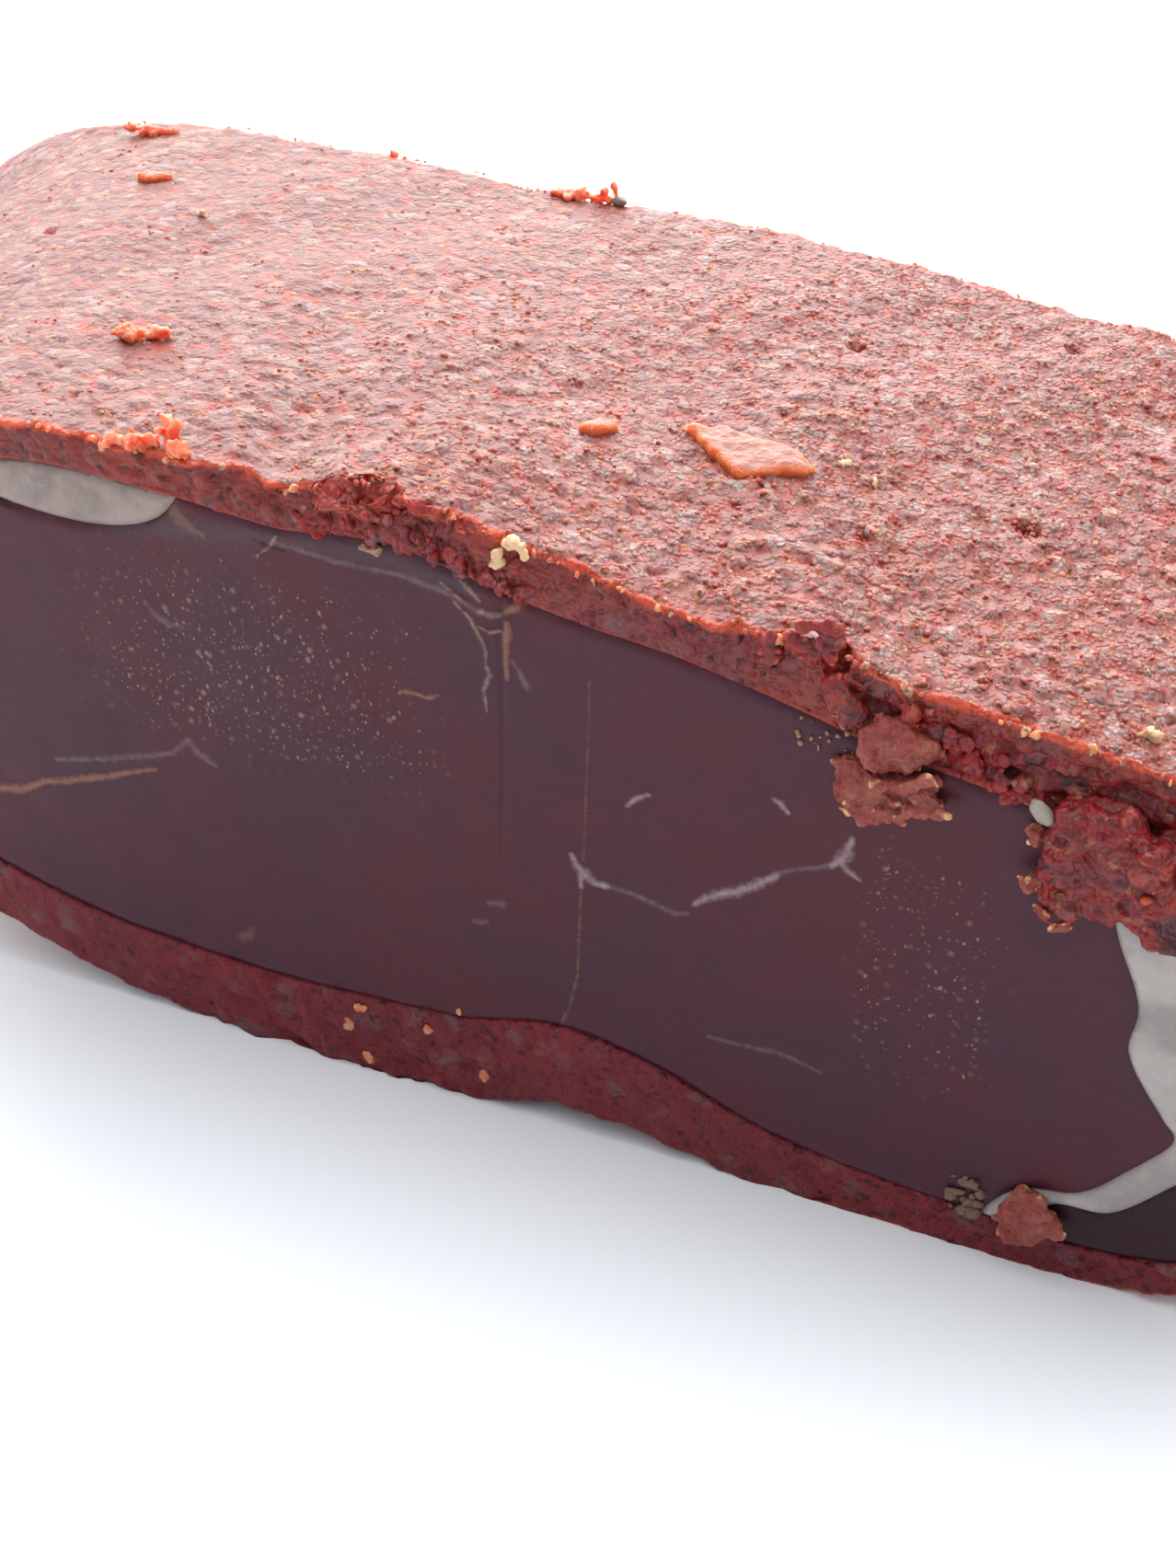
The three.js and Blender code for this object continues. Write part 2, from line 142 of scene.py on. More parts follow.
PALE_FIBRES = (
    ((-5.9, 28.6, 0.07), (-5.2, 28.0, 0.13), (-4.7, 27.1, 0.13), (-4.4, 26.4, 0.15), (-4.45, 25.8, 0.12),
     (-4.3, 25.2, 0.16), (-4.6, 24.3, 0.17), (-4.5, 23.2, 0.06)),
    ((-5.9, 30.0, 0.12), (-5.3, 29.5, 0.19), (-4.6, 28.9, 0.13)),
    ((-6.5, 29.4, 0.07), (-5.9, 29.0, 0.13), (-5.3, 28.7, 0.07)),
    ((-4.7, 28.35, 0.14), (-4.2, 28.3, 0.26), (-3.7, 28.4, 0.2)),
    ((-4.7, 27.6, 0.06), (-4.2, 27.4, 0.12), (-3.7, 27.6, 0.08)),
    ((-15.8, 28.6, 0.05), (-15.0, 29.3, 0.1), (-14.7, 29.8, 0.07)),
)
BROWN_LINES = (
    ((0.5, 26.1, 0.05), (0.3, 20.8, 0.07), (0.2, 16.4, 0.08)),
    ((0.12, 15.0, 0.1), (0.0, 12.5, 0.13), (-0.1, 9.7, 0.12), (-0.5, 7.9, 0.1), (-1.0, 6.4, 0.12)),
    ((-18.6, 6.1, 0.5), (-18.0, 6.8, 0.4)),
    ((-20.9, 30.8, 0.2), (-20.2, 30.0, 0.6), (-19.5, 29.4, 0.7), (-18.6, 29.0, 0.3)),
)
# Cracks in the face, sunk a little and painted dark as shade.
CRACKS = (
    ((-3.6, 29.7, 0.26), (-3.75, 27.0, 0.26), (-3.75, 24.0, 0.2), (-3.85, 20.0, 0.14), (-3.9, 15.5, 0.07)),
    ((-15.9, 29.5, 0.07), (-15.0, 29.25, 0.17), (-14.2, 29.2, 0.08)),
    ((-33.0, 29.8, 0.3), (-30.8, 28.9, 0.34), (-29.2, 28.3, 0.2)),
)
# The greyish film under the paste to the right of the fat strip.
FILM = (
    ((-24.5, 27.9, 0.5), (-21.0, 28.9, 1.0), (-18.0, 29.2, 1.2), (-14.0, 29.9, 0.9), (-9.0, 30.0, 1.1),
     (-6.0, 29.6, 1.0), (-4.6, 29.2, 0.5)),
)


def colour_setting(name, description, default):
    return FloatVectorProperty(name=name, description=description, subtype="COLOR", default=default)


class SlabSizes(PropertyGroup):
    """Sizes that change the look of the paste and of what lies on it."""

    grid: FloatProperty(
        name="Mesh step",
        description="Distance between the points of the paste's surface",
        default=0.23 * MM, min=0.1 * MM, unit="LENGTH", precision=5,
    )
    grain: FloatProperty(
        name="Grain size", description="Width of the ground spices in the paste",
        default=0.85 * MM, unit="LENGTH", precision=5,
    )
    grain_height: FloatProperty(
        name="Grain height", description="How far the grains stand out of the paste",
        default=0.32 * MM, unit="LENGTH", precision=5,
    )
    grains: IntProperty(name="Grains", description="Loose grains on the top of the paste", default=6500)
    specks: IntProperty(name="Specks", description="Spice specks on the cut face of the meat", default=750)
    crumbs: IntProperty(name="Crumbs", description="Crumbs along the cut edges of the paste", default=100)


class FoodColours(PropertyGroup):
    """Main colours of the paste, the meat and the fat."""

    paste: colour_setting("Paste", "Red of the spice paste", (0.160, 0.040, 0.034))
    paste_pale: colour_setting("Pale paste", "Pinker places on the top of the paste", (0.200, 0.080, 0.072))
    # Painted shade and glow: this red is painted in the dips between the grains; it is also the wet cut
    # colour of the upper paste.
    paste_deep: colour_setting("Paste in the dips", "Red between the grains", (0.33, 0.036, 0.012))
    paste_cut: colour_setting("Cut paste", "Red of the cut side of the paste", (0.150, 0.018, 0.026))
    # Painted glow: orange painted along thin edges of the paste, standing in for light that comes through
    # it.
    rim: colour_setting("Paste at thin edges", "Orange where light comes through", (0.60, 0.080, 0.026))
    lean: colour_setting("Lean meat", "Dark wine red of the dried beef", (0.066, 0.0105, 0.021))
    fat: colour_setting("Fat", "Creamy white of the fat", (0.44, 0.385, 0.36))


class StudioSettings(PropertyGroup):
    """Camera, light and table."""

    camera_place: FloatVectorProperty(
        name="Camera", description="Where the camera stands", subtype="TRANSLATION",
        default=(47.75 * MM, -99.42 * MM, 80.04 * MM),
    )
    camera_down: FloatProperty(
        name="Looks down", description="How far the camera looks below the level", subtype="ANGLE",
        default=math.radians(34),
    )
    camera_turn: FloatProperty(
        name="Turned", description="How far the camera is turned to the left", subtype="ANGLE",
        default=math.radians(23.85),
    )
    focal_length: FloatProperty(
        name="Focal length", description="For a frame that is 36 mm high", default=54.93,
    )
    window: FloatProperty(
        name="Window light", description="Power of the window behind the chunk", default=7.3,
    )
    ceiling: FloatProperty(
        name="Ceiling light", description="Power of the soft light from above", default=9.0,
    )
    room: FloatProperty(name="Room light", description="Strength of the light from all around", default=1.0)


# ---- numbers and noise ----


def scramble(places, seed):
    """A number from 0 to 1 for each triple of whole numbers, the same at each run."""
    mixed = places[..., 0] * 73856093 ^ places[..., 1] * 19349663 ^ places[..., 2] * 83492791
    mixed = (mixed ^ (seed * 40503 + 977)) & 0xFFFFFFFF
    for factor in (0x45D9F3B, 0x119DE1F3, 0x45D9F3B):
        mixed = ((mixed ^ (mixed >> 16)) * factor) & 0xFFFFFFFF
    return (mixed ^ (mixed >> 16)) / 4294967296.0


def drift(points, size, seed):
    """Smooth noise from -1 to 1 with bumps of the given size."""
    scaled = points / size
    base = np.floor(scaled).astype(np.int64)
    t = scaled - base
    t = t * t * (3 - 2 * t)
    total = np.zeros(len(points))
    for corner in itertools.product((0, 1), repeat=3):
        weight = np.prod(np.where(corner, t, 1 - t), axis=1)
        total += weight * scramble(base + np.array(corner), seed)
    return total * 2 - 1


def scattered(points, size, seed):
    """The distance to the nearest of evenly scattered points, in units of size, and that point's number."""
    scaled = points / size
    base = np.floor(scaled).astype(np.int64)
    nearest = np.full(len(points), 9.0)
    number = np.zeros(len(points))
    for step in itertools.product((-1, 0, 1), repeat=3):
        cell = base + np.array(step)
        place = np.stack([scramble(cell, seed + k) for k in range(3)], axis=1) + cell
        distance = np.linalg.norm(place - scaled, axis=1)
        closer = distance < nearest
        nearest[closer] = distance[closer]
        number[closer] = scramble(cell[closer], seed + 3)
    return nearest, number


def dome(distance, reach):
    return np.sqrt(np.clip(1 - (distance / reach) ** 2, 0, 1))


def soft_step(value, low, high):
    t = np.clip((value - low) / (high - low), 0, 1)
    return t * t * (3 - 2 * t)


# ---- the slab's shape ----


def line(knots):
    """A smooth height along the slab through the given (place, height) pairs."""
    knots = np.array(knots, float)
    x, z = knots.T
    before = np.r_[0, np.arange(len(x) - 1)]
    after = np.r_[np.arange(1, len(x)), len(x) - 1]
    slopes = (z[after] - z[before]) / (x[after] - x[before])

    def height(at):
        held = np.clip(at, x[0], x[-1])
        i = np.clip(np.searchsorted(x, held, side="left") - 1, 0, len(x) - 2)
        step = x[i + 1] - x[i]
        t = (held - x[i]) / step
        bend = t * (1 - t) * ((1 - t) * slopes[i] - t * slopes[i + 1]) * step
        return z[i] + (z[i + 1] - z[i]) * t * t * (3 - 2 * t) + bend

    return height


top_front, top_back, bottom = line(TOP_FRONT), line(TOP_BACK), line(BOTTOM)
top_coat, bottom_coat = line(TOP_COAT), line(BOTTOM_COAT)


def rounding(distance, reach):
    t = 1 - np.clip(distance / reach, 0, 1)
    return np.sqrt(1 - t * t)


def wave(x, y, phase):
    """Slow waves over the outside of the paste."""
    swell = np.sin(x / 4.1 + phase) * np.cos(y / 5.3 - phase)
    return WAVE * (swell + 0.6 * np.sin(x / 2.3 - y / 3.1 + 2 * phase))


def across(q, s):
    """From a place across the front cut to the same place across another section."""
    left = FRONT_ENDS[0] + (BACK_ENDS[0] - FRONT_ENDS[0]) * s
    right = FRONT_ENDS[1] + (BACK_ENDS[1] - FRONT_ENDS[1]) * s
    share = (q - FRONT_ENDS[0]) / (FRONT_ENDS[1] - FRONT_ENDS[0])
    return left + (right - left) * share


def reach_of(inset, extra):
    """The ends of a section that lies inset from the outside of the paste."""
    left = FRONT_ENDS[0] + inset * END_COAT[0] + extra
    right = FRONT_ENDS[1] - inset * END_COAT[1] - extra
    return left, right


def section(turn, s, inset, extra=0.0):
    """Points of a section: turn 0 is the left end, 0.25 the top, 0.5 the right end."""
    left, right = reach_of(inset, extra)
    q = (left + right) / 2 - (right - left) / 2 * np.cos(turn * 2 * math.pi)
    above = turn <= 0.5
    share = (q - left) / (right - left)
    middle = NOSE_HEIGHT[0] + (NOSE_HEIGHT[1] - NOSE_HEIGHT[0]) * share
    reach_left = np.where(above, NOSE_TOP[0], NOSE_BOTTOM[0]) - inset * END_COAT[0]
    reach_right = np.where(above, NOSE_TOP[1], NOSE_BOTTOM[1]) - inset * END_COAT[1]
    curve = np.minimum(rounding(q - left, reach_left), rounding(right - q, reach_right))
    x = across(q, s)
    y = (s - 0.5) * DEPTH
    upper = top_front(q) + (top_back(q) - top_front(q)) * s + wave(x, y, 0) - inset * top_coat(q) - extra
    lower = bottom(q) + 0.8 * wave(x, y, 2) - 0.2 + inset * bottom_coat(q) + extra
    z = middle + (np.where(above, upper, lower) - middle) * curve
    z = np.where(inset == 0, np.maximum(z, 0), z)
    return np.stack(np.broadcast_arrays(x, y, z), axis=-1)


def turn_at(q, inset=0.0, extra=0.0):
    """The turn at which the upper side of a section passes a place across."""
    left, right = reach_of(inset, extra)
    return np.arccos(np.clip(((left + right) / 2 - q) / ((right - left) / 2), -1, 1)) / (2 * math.pi)


def top_at(x, y):
    """The height of the paste's upper side at a place seen from above."""
    s = y / DEPTH + 0.5
    left, right = across(FRONT_ENDS[0], s), across(FRONT_ENDS[1], s)
    q = FRONT_ENDS[0] + (x - left) / (right - left) * (FRONT_ENDS[1] - FRONT_ENDS[0])
    return section(turn_at(q), s, 0.0)[..., 2]


def even(path, count):
    """The path as evenly spaced points."""
    path = np.asarray(path, float)
    lengths = np.r_[0, np.cumsum(np.linalg.norm(np.diff(path, axis=0), axis=1))]
    places = np.linspace(0, lengths[-1], count)
    return np.stack([np.interp(places, lengths, column) for column in path.T], axis=1)


def smooth(corners, steps=24):
    """A smooth curve through the corners, with short steps."""
    p = np.asarray(corners, float)
    gaps = np.sqrt(np.linalg.norm(np.diff(p, axis=0), axis=1))[:, None]
    slopes = np.empty_like(p)
    slopes[0], slopes[-1] = (p[1] - p[0]) / gaps[0], (p[-1] - p[-2]) / gaps[-1]
    rise = np.diff(p, axis=0) / gaps
    slopes[1:-1] = (rise[:-1] * gaps[1:] + rise[1:] * gaps[:-1]) / (gaps[1:] + gaps[:-1])
    t = np.linspace(0, 1, steps, endpoint=False)[:, None]
    runs = []
    for i in range(len(p) - 1):
        a, b = p[i], p[i + 1]
        m, n = slopes[i] * gaps[i], slopes[i + 1] * gaps[i]
        runs.append(
            (2 * t**3 - 3 * t**2 + 1) * a + (t**3 - 2 * t**2 + t) * m
            + (3 * t**2 - 2 * t**3) * b + (t**3 - t**2) * n
        )
    return np.vstack(runs + [p[-1:]])


# ---- meshes ----


def make(name, points, faces, finish, marks=None, sharp=None):
    """An object from points in millimetres and a list of face arrays, with marks as point attributes."""
    sizes = np.concatenate([np.full(len(f), f.shape[1], np.int32) for f in faces])
    corners = np.concatenate([f.ravel() for f in faces]).astype(np.int32)
    starts = np.r_[0, np.cumsum(sizes)[:-1]].astype(np.int32)
    mesh = bpy.data.meshes.new(name)
    mesh.vertices.add(len(points))
    mesh.vertices.foreach_set("co", ((points + OFFSET) * MM).astype(np.float32).ravel())
    mesh.loops.add(len(corners))
    mesh.loops.foreach_set("vertex_index", corners)
    mesh.polygons.add(len(sizes))
    mesh.polygons.foreach_set("loop_start", starts)
    mesh.update(calc_edges=True)
    mesh.validate()
    for label, values in (marks or {}).items():
        layer = mesh.attributes.new(label, "FLOAT", "POINT")
        layer.data.foreach_set("value", values.astype(np.float32))
    mesh.shade_smooth()
    if sharp is not None:
        mesh.set_sharp_from_angle(angle=math.radians(sharp))
    mesh.materials.append(finish)
    piece = bpy.data.objects.new(name, mesh)
    bpy.context.scene.collection.objects.link(piece)
    return piece


def settle(piece, slot, *nodes):
    """The piece rides on the chunk's body and hides the CAD nodes it stands for; slot is not used."""
    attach(piece, "root")
    if nodes:
        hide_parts(*nodes)


def joined(parts):
    """One set of points and triangles from several."""
    points, triangles, count = [], [], 0
    for part_points, part_triangles in parts:
        points.append(part_points)
        triangles.append(part_triangles + count)
        count += len(part_points)
    return np.vstack(points), np.vstack(triangles)


BALLS = {}


def ball(detail):
    """Points and triangles of a round ball of radius 1."""
    if detail not in BALLS:
        shape = bmesh.new()
        bmesh.ops.create_icosphere(shape, subdivisions=detail, radius=1)
        points = np.array([v.co for v in shape.verts])
        triangles = np.array([[v.index for v in f.verts] for f in shape.faces])
        shape.free()
        BALLS[detail] = points, triangles
    return BALLS[detail]


def turned(points, degrees):
    return points @ np.array(Euler([math.radians(d) for d in degrees]).to_matrix()).T


def lump(centre, half, degrees, seed, detail=3, rough=0.3):
    """An uneven lump with the given half sizes."""
    points, triangles = ball(detail)
    size = 0.9 + rough * drift(points + seed * 7.3, 0.9, seed)
    size += 0.5 * rough * drift(points + seed, 0.4, seed)
    shaped = points * size[:, None] * np.asarray(half)
    return turned(shaped, degrees) + np.asarray(centre), triangles


def nearness(places, path):
    """1 on a path of (across, height, half width), falling to 0 at its half width."""
    best = np.zeros(len(places))
    for start, end in itertools.pairwise(path):
        a, b = np.array(start), np.array(end)
        step = b[:2] - a[:2]
        t = np.clip((places - a[:2]) @ step / (step @ step), 0, 1)
        distance = np.linalg.norm(places - a[:2] - t[:, None] * step, axis=1)
        best = np.maximum(best, 1 - distance / (a[2] + (b[2] - a[2]) * t))
    return best


def nearest_of(places, paths):
    return np.clip(np.max([nearness(places, path) for path in paths], axis=0), 0, 1)


def edge_distance(places, ring):
    """Distance from each place to a closed outline."""
    best = np.full(len(places), 1e9)
    for a, b in zip(ring, np.roll(ring, -1, axis=0)):
        step = b - a
        t = np.clip((places - a) @ step / max(step @ step, 1e-12), 0, 1)
        best = np.minimum(best, np.linalg.norm(places - a - t[:, None] * step, axis=1))
    return best


def inside(places, ring):
    """Which places lie within a closed outline."""
    x, z = places.T
    odd = np.zeros(len(places), bool)
    for a, b in zip(ring, np.roll(ring, -1, axis=0)):
        crosses = (a[1] > z) != (b[1] > z)
        rise = b[1] - a[1] if b[1] != a[1] else 1e-12
        odd ^= crosses & (x < a[0] + (z - a[1]) / rise * (b[0] - a[0]))
    return odd


def lattice(low, high, step):
    """Evenly spaced places in staggered rows."""
    rows = np.arange(low[1], high[1], step * 0.866)
    columns = np.arange(low[0], high[0], step)
    x, z = np.meshgrid(columns, rows)
    x[1::2] += step / 2
    return np.stack([x.ravel(), z.ravel()], axis=1)


def filled(ring, step, fine_paths=(), fine_step=0.12):
    """Triangles over a closed outline, finer along the given paths; the outline's own points come first."""
    grid = lattice(ring.min(0), ring.max(0), step)
    if fine_paths:
        grid = grid[np.max([nearness(grid, widened(p)) for p in fine_paths], axis=0) <= 0]
        for path in fine_paths:
            wide = np.array(widened(path))
            zone = lattice(wide[:, :2].min(0) - 1, wide[:, :2].max(0) + 1, fine_step)
            zone = zone[nearness(zone, widened(path)) > 0]
            grid = np.vstack([grid, zone])
        grid = np.unique(np.round(grid / 0.03).astype(int), axis=0) * 0.03
    grid = grid[inside(grid, ring)]
    grid = grid[edge_distance(grid, ring) > min(step, 0.2) * 0.6]
    places = np.vstack([ring, grid])
    count = len(ring)
    edges = [(i, (i + 1) % count) for i in range(count)]
    corners = [Vector(p) for p in places]
    _, _, faces, sources, _, _ = geometry.delaunay_2d_cdt(corners, edges, [], 1, 1e-6)
    order = [source[0] if source else -1 for source in sources]
    if sorted(order) != list(range(len(places))):
        raise RuntimeError("an outline crosses itself and can't be filled")
    order = np.array(order)
    triangles = order[np.array([f for f in faces if len(f) == 3])]
    a, b, c = places[triangles[:, 0]], places[triangles[:, 1]], places[triangles[:, 2]]
    area = (b[:, 0] - a[:, 0]) * (c[:, 1] - a[:, 1]) - (b[:, 1] - a[:, 1]) * (c[:, 0] - a[:, 0])
    triangles[area < 0] = triangles[area < 0][:, ::-1]
    return places, triangles


def widened(path, margin=0.35):
    return [(x, z, width + margin) for x, z, width in path]


# ---- the paste ----


def paste_relief(points, sizes):
    """Height of the grains in millimetres, the same from 0 to 1, and where flat flakes of spice lie."""
    grain = sizes.grain / MM
    swirl = np.stack([drift(points, grain * 0.9, seed) for seed in (5, 6, 7)], axis=1)
    bent = points + 0.3 * grain * swirl
    near, pick = scattered(bent, grain, 11)
    pebble = soft_step(0.74 - near, 0.0, 0.4) * (0.2 + 0.8 * pick)
    near, kind = scattered(bent, grain * 1.5, 21)
    flake = soft_step(0.48 - near, 0.0, 0.12) * (kind > 0.84)
    near, hole = scattered(bent, grain * 1.2, 31)
    pit = soft_step(0.42 - near, 0.0, 0.3) * (hole > 0.7)
    share = 0.8 * pebble + 0.22 * drift(bent, grain * 1.6, 44) - 0.75 * pit
    share = share * (1 - flake) + flake * 0.75
    coarser = 0.38 + 0.74 * soft_step(points[:, 0] - 0.9 * points[:, 1], -35, 30)
    height = coarser * share * sizes.grain_height / MM + 0.05 * drift(points, 3.4, 41)
    return height, np.clip(share + 0.15, 0, 1), flake * kind


# Places torn out of the front upper edge: (across, half width, how far back, how deep).
TORN = (
    (-10.9, 2.2, 0.8, 1.2), (-7.0, 1.0, 0.3, 0.5), (-5.2, 0.6, 0.35, 0.5), (11.4, 0.6, 1.1, 1.7),
    (29.5, 1.6, 1.2, 1.1),
)
# Round pits in the top, as (x, y, radius).
PITS = ((2.8, 8.4, 0.5), (15.3, -4.4, 0.6), (12.5, 15.0, 0.45), (-41.5, 2.4, 0.4), (10.9, -17.3, 0.4))
RECESS = (12.4, 34.0)  # where the lower layers of the paste stand back under the crust
CORNER = 0.25  # rounding of the paste's cut edges
CUT_ROWS = 20  # rows of points over each cut of the paste
HIDDEN_ROWS = 14  # rows on the side of the paste that lies on the meat
EDGEWISE = np.array([1.0, 0.0, 1.0])


def crumbliness(q):
    """How broken the front cut of the paste is, along the slab."""
    return 0.12 + 0.7 * soft_step(q, -26, -21) * (1 - soft_step(q, -5, -3)) + 0.25 * soft_step(q, 9, 12)


def creases(points):
    """Sharp folds and dips of broken paste, in millimetres."""
    coarse = 0.3 - np.abs(drift(points, 0.7, 81))
    return 0.26 * coarse + 0.12 * (0.3 - np.abs(drift(points, 0.3, 82)))


def carve(points, centre, half, seed):
    """Pushes points out of an uneven hollow round the centre."""
    away = (points - centre) / half
    distance = np.linalg.norm(away, axis=1)
    near = distance < 1.2
    rough = 0.95 + 0.35 * drift(points[near], 1.3, seed) + 0.25 * drift(points[near], 0.6, seed + 1)
    rough += 0.2 * drift(points[near], 0.35, seed + 2) + 0.9 * creases(points[near])
    away, distance = away[near], distance[near]
    down = np.array([0, 0.6, -0.8])
    blend = np.clip(1 - distance / 0.35, 0, 1)[:, None]
    away = away / np.maximum(distance, 1e-9)[:, None] * (1 - blend) + down * blend
    away /= np.linalg.norm(away, axis=1, keepdims=True)
    target = centre + away * rough[:, None] * half
    pushed = distance < rough
    index = np.nonzero(near)[0]
    points[index[pushed]] = target[pushed]
    return index[pushed], index[(distance >= rough) & (distance < rough * 1.12)]


def coat_shell(name, first_turn, last_turn, sizes, step, finish):
    """One half of the paste: a closed shell from nose to nose, over or under the meat."""
    dense = np.linspace(first_turn, last_turn, 4000)
    ring = section(dense, 0.3, 0.0)
    lengths = np.r_[0, np.cumsum(np.linalg.norm(np.diff(ring, axis=0), axis=1))]
    columns = int(lengths[-1] / step)
    turns = np.interp(np.linspace(0, lengths[-1], columns), lengths, dense)

    outer = 1 - np.cumsum(np.r_[0, np.linspace(1.35, 0.75, int(DEPTH / step) - 8)])
    outer = (outer - outer[-1]) / (1 - outer[-1])
    band = np.linspace(0, 1, CUT_ROWS + 2)[1:-1]
    inner = np.linspace(0, 1, HIDDEN_ROWS)
    s = np.concatenate([outer, np.zeros(len(band)), inner, np.ones(len(band))])
    inset = np.concatenate([np.zeros(len(outer)), band, np.ones(len(inner)), band[::-1]])
    rows = len(s)
    grid = np.stack([section(turns, s[r], inset[r]) for r in range(rows)], axis=1)

    along = np.gradient(grid, axis=0)
    outward = np.cross(along[:, : len(outer)], np.gradient(grid[:, : len(outer)], axis=1))
    outward /= np.linalg.norm(outward, axis=2, keepdims=True)
    upper_half = first_turn < 0.25
    if outward[columns // 2, 0, 2] * (1 if upper_half else -1) < 0:
        outward = -outward
    skin = np.zeros((columns, rows, 3))
    skin[:, : len(outer)] = outward
    skin[:, len(outer):] = outward[:, -1:]
    skin[:, rows - len(band):] = outward[:, :1]

    thickness = np.linalg.norm(grid - grid[:, [len(outer) - 1]], axis=2)
    below = np.zeros((columns, rows))
    front_rows = slice(len(outer), len(outer) + len(band))
    back_rows = slice(rows - len(band), rows)
    below[:, front_rows] = thickness[:, front_rows]
    below[:, back_rows] = np.linalg.norm(grid[:, back_rows] - grid[:, :1], axis=2)
    to_cut = np.full((columns, rows), 9.0)
    to_cut[:, : len(outer)] = np.minimum(outer, 1 - outer) * DEPTH
    to_cut[:, front_rows] = 0
    to_cut[:, back_rows] = 0
    side = np.where(s < 0.5, -1.0, 1.0)[None, :]
    hidden = np.zeros((columns, rows), bool)
    hidden[:, len(outer) + len(band) : len(outer) + len(band) + len(inner)] = True

    points = grid.reshape(-1, 3).copy()
    normals = skin.reshape(-1, 3)
    below, to_cut = below.ravel(), to_cut.ravel()
    side = np.broadcast_to(side, (columns, rows)).ravel()
    hidden = hidden.ravel()
    on_band = (to_cut == 0) & ~hidden
    height, share, flake = paste_relief(points, sizes)
    column = np.repeat(np.arange(columns), rows)
    from_nose = np.minimum(column, columns - 1 - column) * step
    height *= 1.0 if upper_half else 0.45 + 0.55 * np.exp(-from_nose / 2)
    grid_q = np.broadcast_to(grid[:, [len(outer) - 1], 0], (columns, rows)).ravel()

    close = (below < CORNER) & (to_cut < CORNER) & ~hidden
    legs = np.stack([to_cut - CORNER, below - CORNER], axis=1)
    span = np.maximum(np.linalg.norm(legs, axis=1), 1e-9)
    new_cut = CORNER + CORNER * legs[:, 0] / span
    new_below = CORNER + CORNER * legs[:, 1] / span
    points[close, 1] -= (side * (new_cut - to_cut))[close]
    points[close] -= normals[close] * (new_below - below)[close, None]

    skin_share = np.where(hidden, 0, np.where(on_band, np.clip(1 - below / CORNER, 0, 1), 1))
    points += normals * (height * skin_share)[:, None]
    cut_share = np.where(hidden, 0, np.clip(1 - to_cut / CORNER, 0, 1))
    crumbly = crumbliness(grid_q)
    band_height = crumbly * (0.3 * drift(points, 1.0, 56) + 0.2 * drift(points, 0.5, 57))
    band_height += height * (0.3 + crumbly)
    points[:, 1] += side * band_height * cut_share * np.clip(below / 0.2, 0.3, 1)
    fray = 0.4 * drift(points * EDGEWISE, 1.5, 54) + 0.25 * drift(points * EDGEWISE, 0.55, 55) - 0.1
    fray *= (1 - 0.65 * soft_step(grid_q, 12, 13.5)) * (1.0 if upper_half else 0.4)
    points[:, 1] += side * fray * np.exp(-to_cut / 0.9 - below / 1.2) * np.where(hidden, 0, 1)

    front = side < 0
    fresh, hollowed, lip = np.zeros((3, len(points)))
    if upper_half:
        in_recess = soft_step(grid_q, RECESS[0], RECESS[0] + 0.8)
        in_recess *= 1 - soft_step(grid_q, RECESS[1] - 4, RECESS[1])
        ledges = points * np.array([0.3, 0.6, 1.6])
        layer = 0.5 + 0.6 * drift(ledges, 0.8, 51) + 0.3 * drift(points, 0.5, 52)
        depth = in_recess * soft_step(below, 0.9, 1.2) * np.clip(0.5 * layer, 0.0, 0.7)
        depth = depth + in_recess * creases(points) * soft_step(below, 0.3, 0.8)
        points[:, 1] += np.where(front & on_band, depth, 0)
        fresh = np.where(front & on_band, in_recess * soft_step(below, 0.8, 1.1), 0)
        for i, (q, width, back, deep) in enumerate(TORN):
            centre = section(np.array(turn_at(q)), 0.0, 0.0)
            visible = ~hidden
            moved = points[visible]
            hollow, edge = carve(moved, centre, np.array([width, back, deep]), 60 + 5 * i)
            points[visible] = moved
            fresh[np.nonzero(visible)[0][hollow]] = 1.0
            hollowed[np.nonzero(visible)[0][hollow]] = 1.0
            lip[np.nonzero(visible)[0][edge]] = 1.0
        for x, y, radius in PITS:
            centre = np.array([x, y, top_at(x, y)])
            away = np.linalg.norm((points - centre)[:, :2], axis=1) / radius
            points[:, 2] -= np.where(points[:, 2] > centre[2] - 1.5, 1.1 * radius * dome(away, 1), 0)
            # Painted glow: the pits lose their grain relief, so they take the colour of the dips, and are
            # marked to take the torn red, painted as light glowing through the paste inside them.
            share = share * np.clip(away, 0, 1)
            glow = np.where(points[:, 2] > centre[2] - 1.5, np.clip(1.5 - 1.2 * away, 0, 1), 0)
            fresh, hollowed = np.maximum(fresh, glow), np.maximum(hollowed, glow)
    points[:, 2] = np.maximum(points[:, 2], 0.0)

    index = np.arange(columns * rows).reshape(columns, rows)
    a, b = index[:-1], index[1:]
    quads = np.stack([a, np.roll(a, -1, axis=1), np.roll(b, -1, axis=1), b], axis=-1).reshape(-1, 4)
    ends = [index[0][None, ::-1], index[-1][None, :]]
    faces = [quads, *ends]
    if skewed(points, quads, normals, rows):
        faces = [f[:, ::-1] for f in faces]
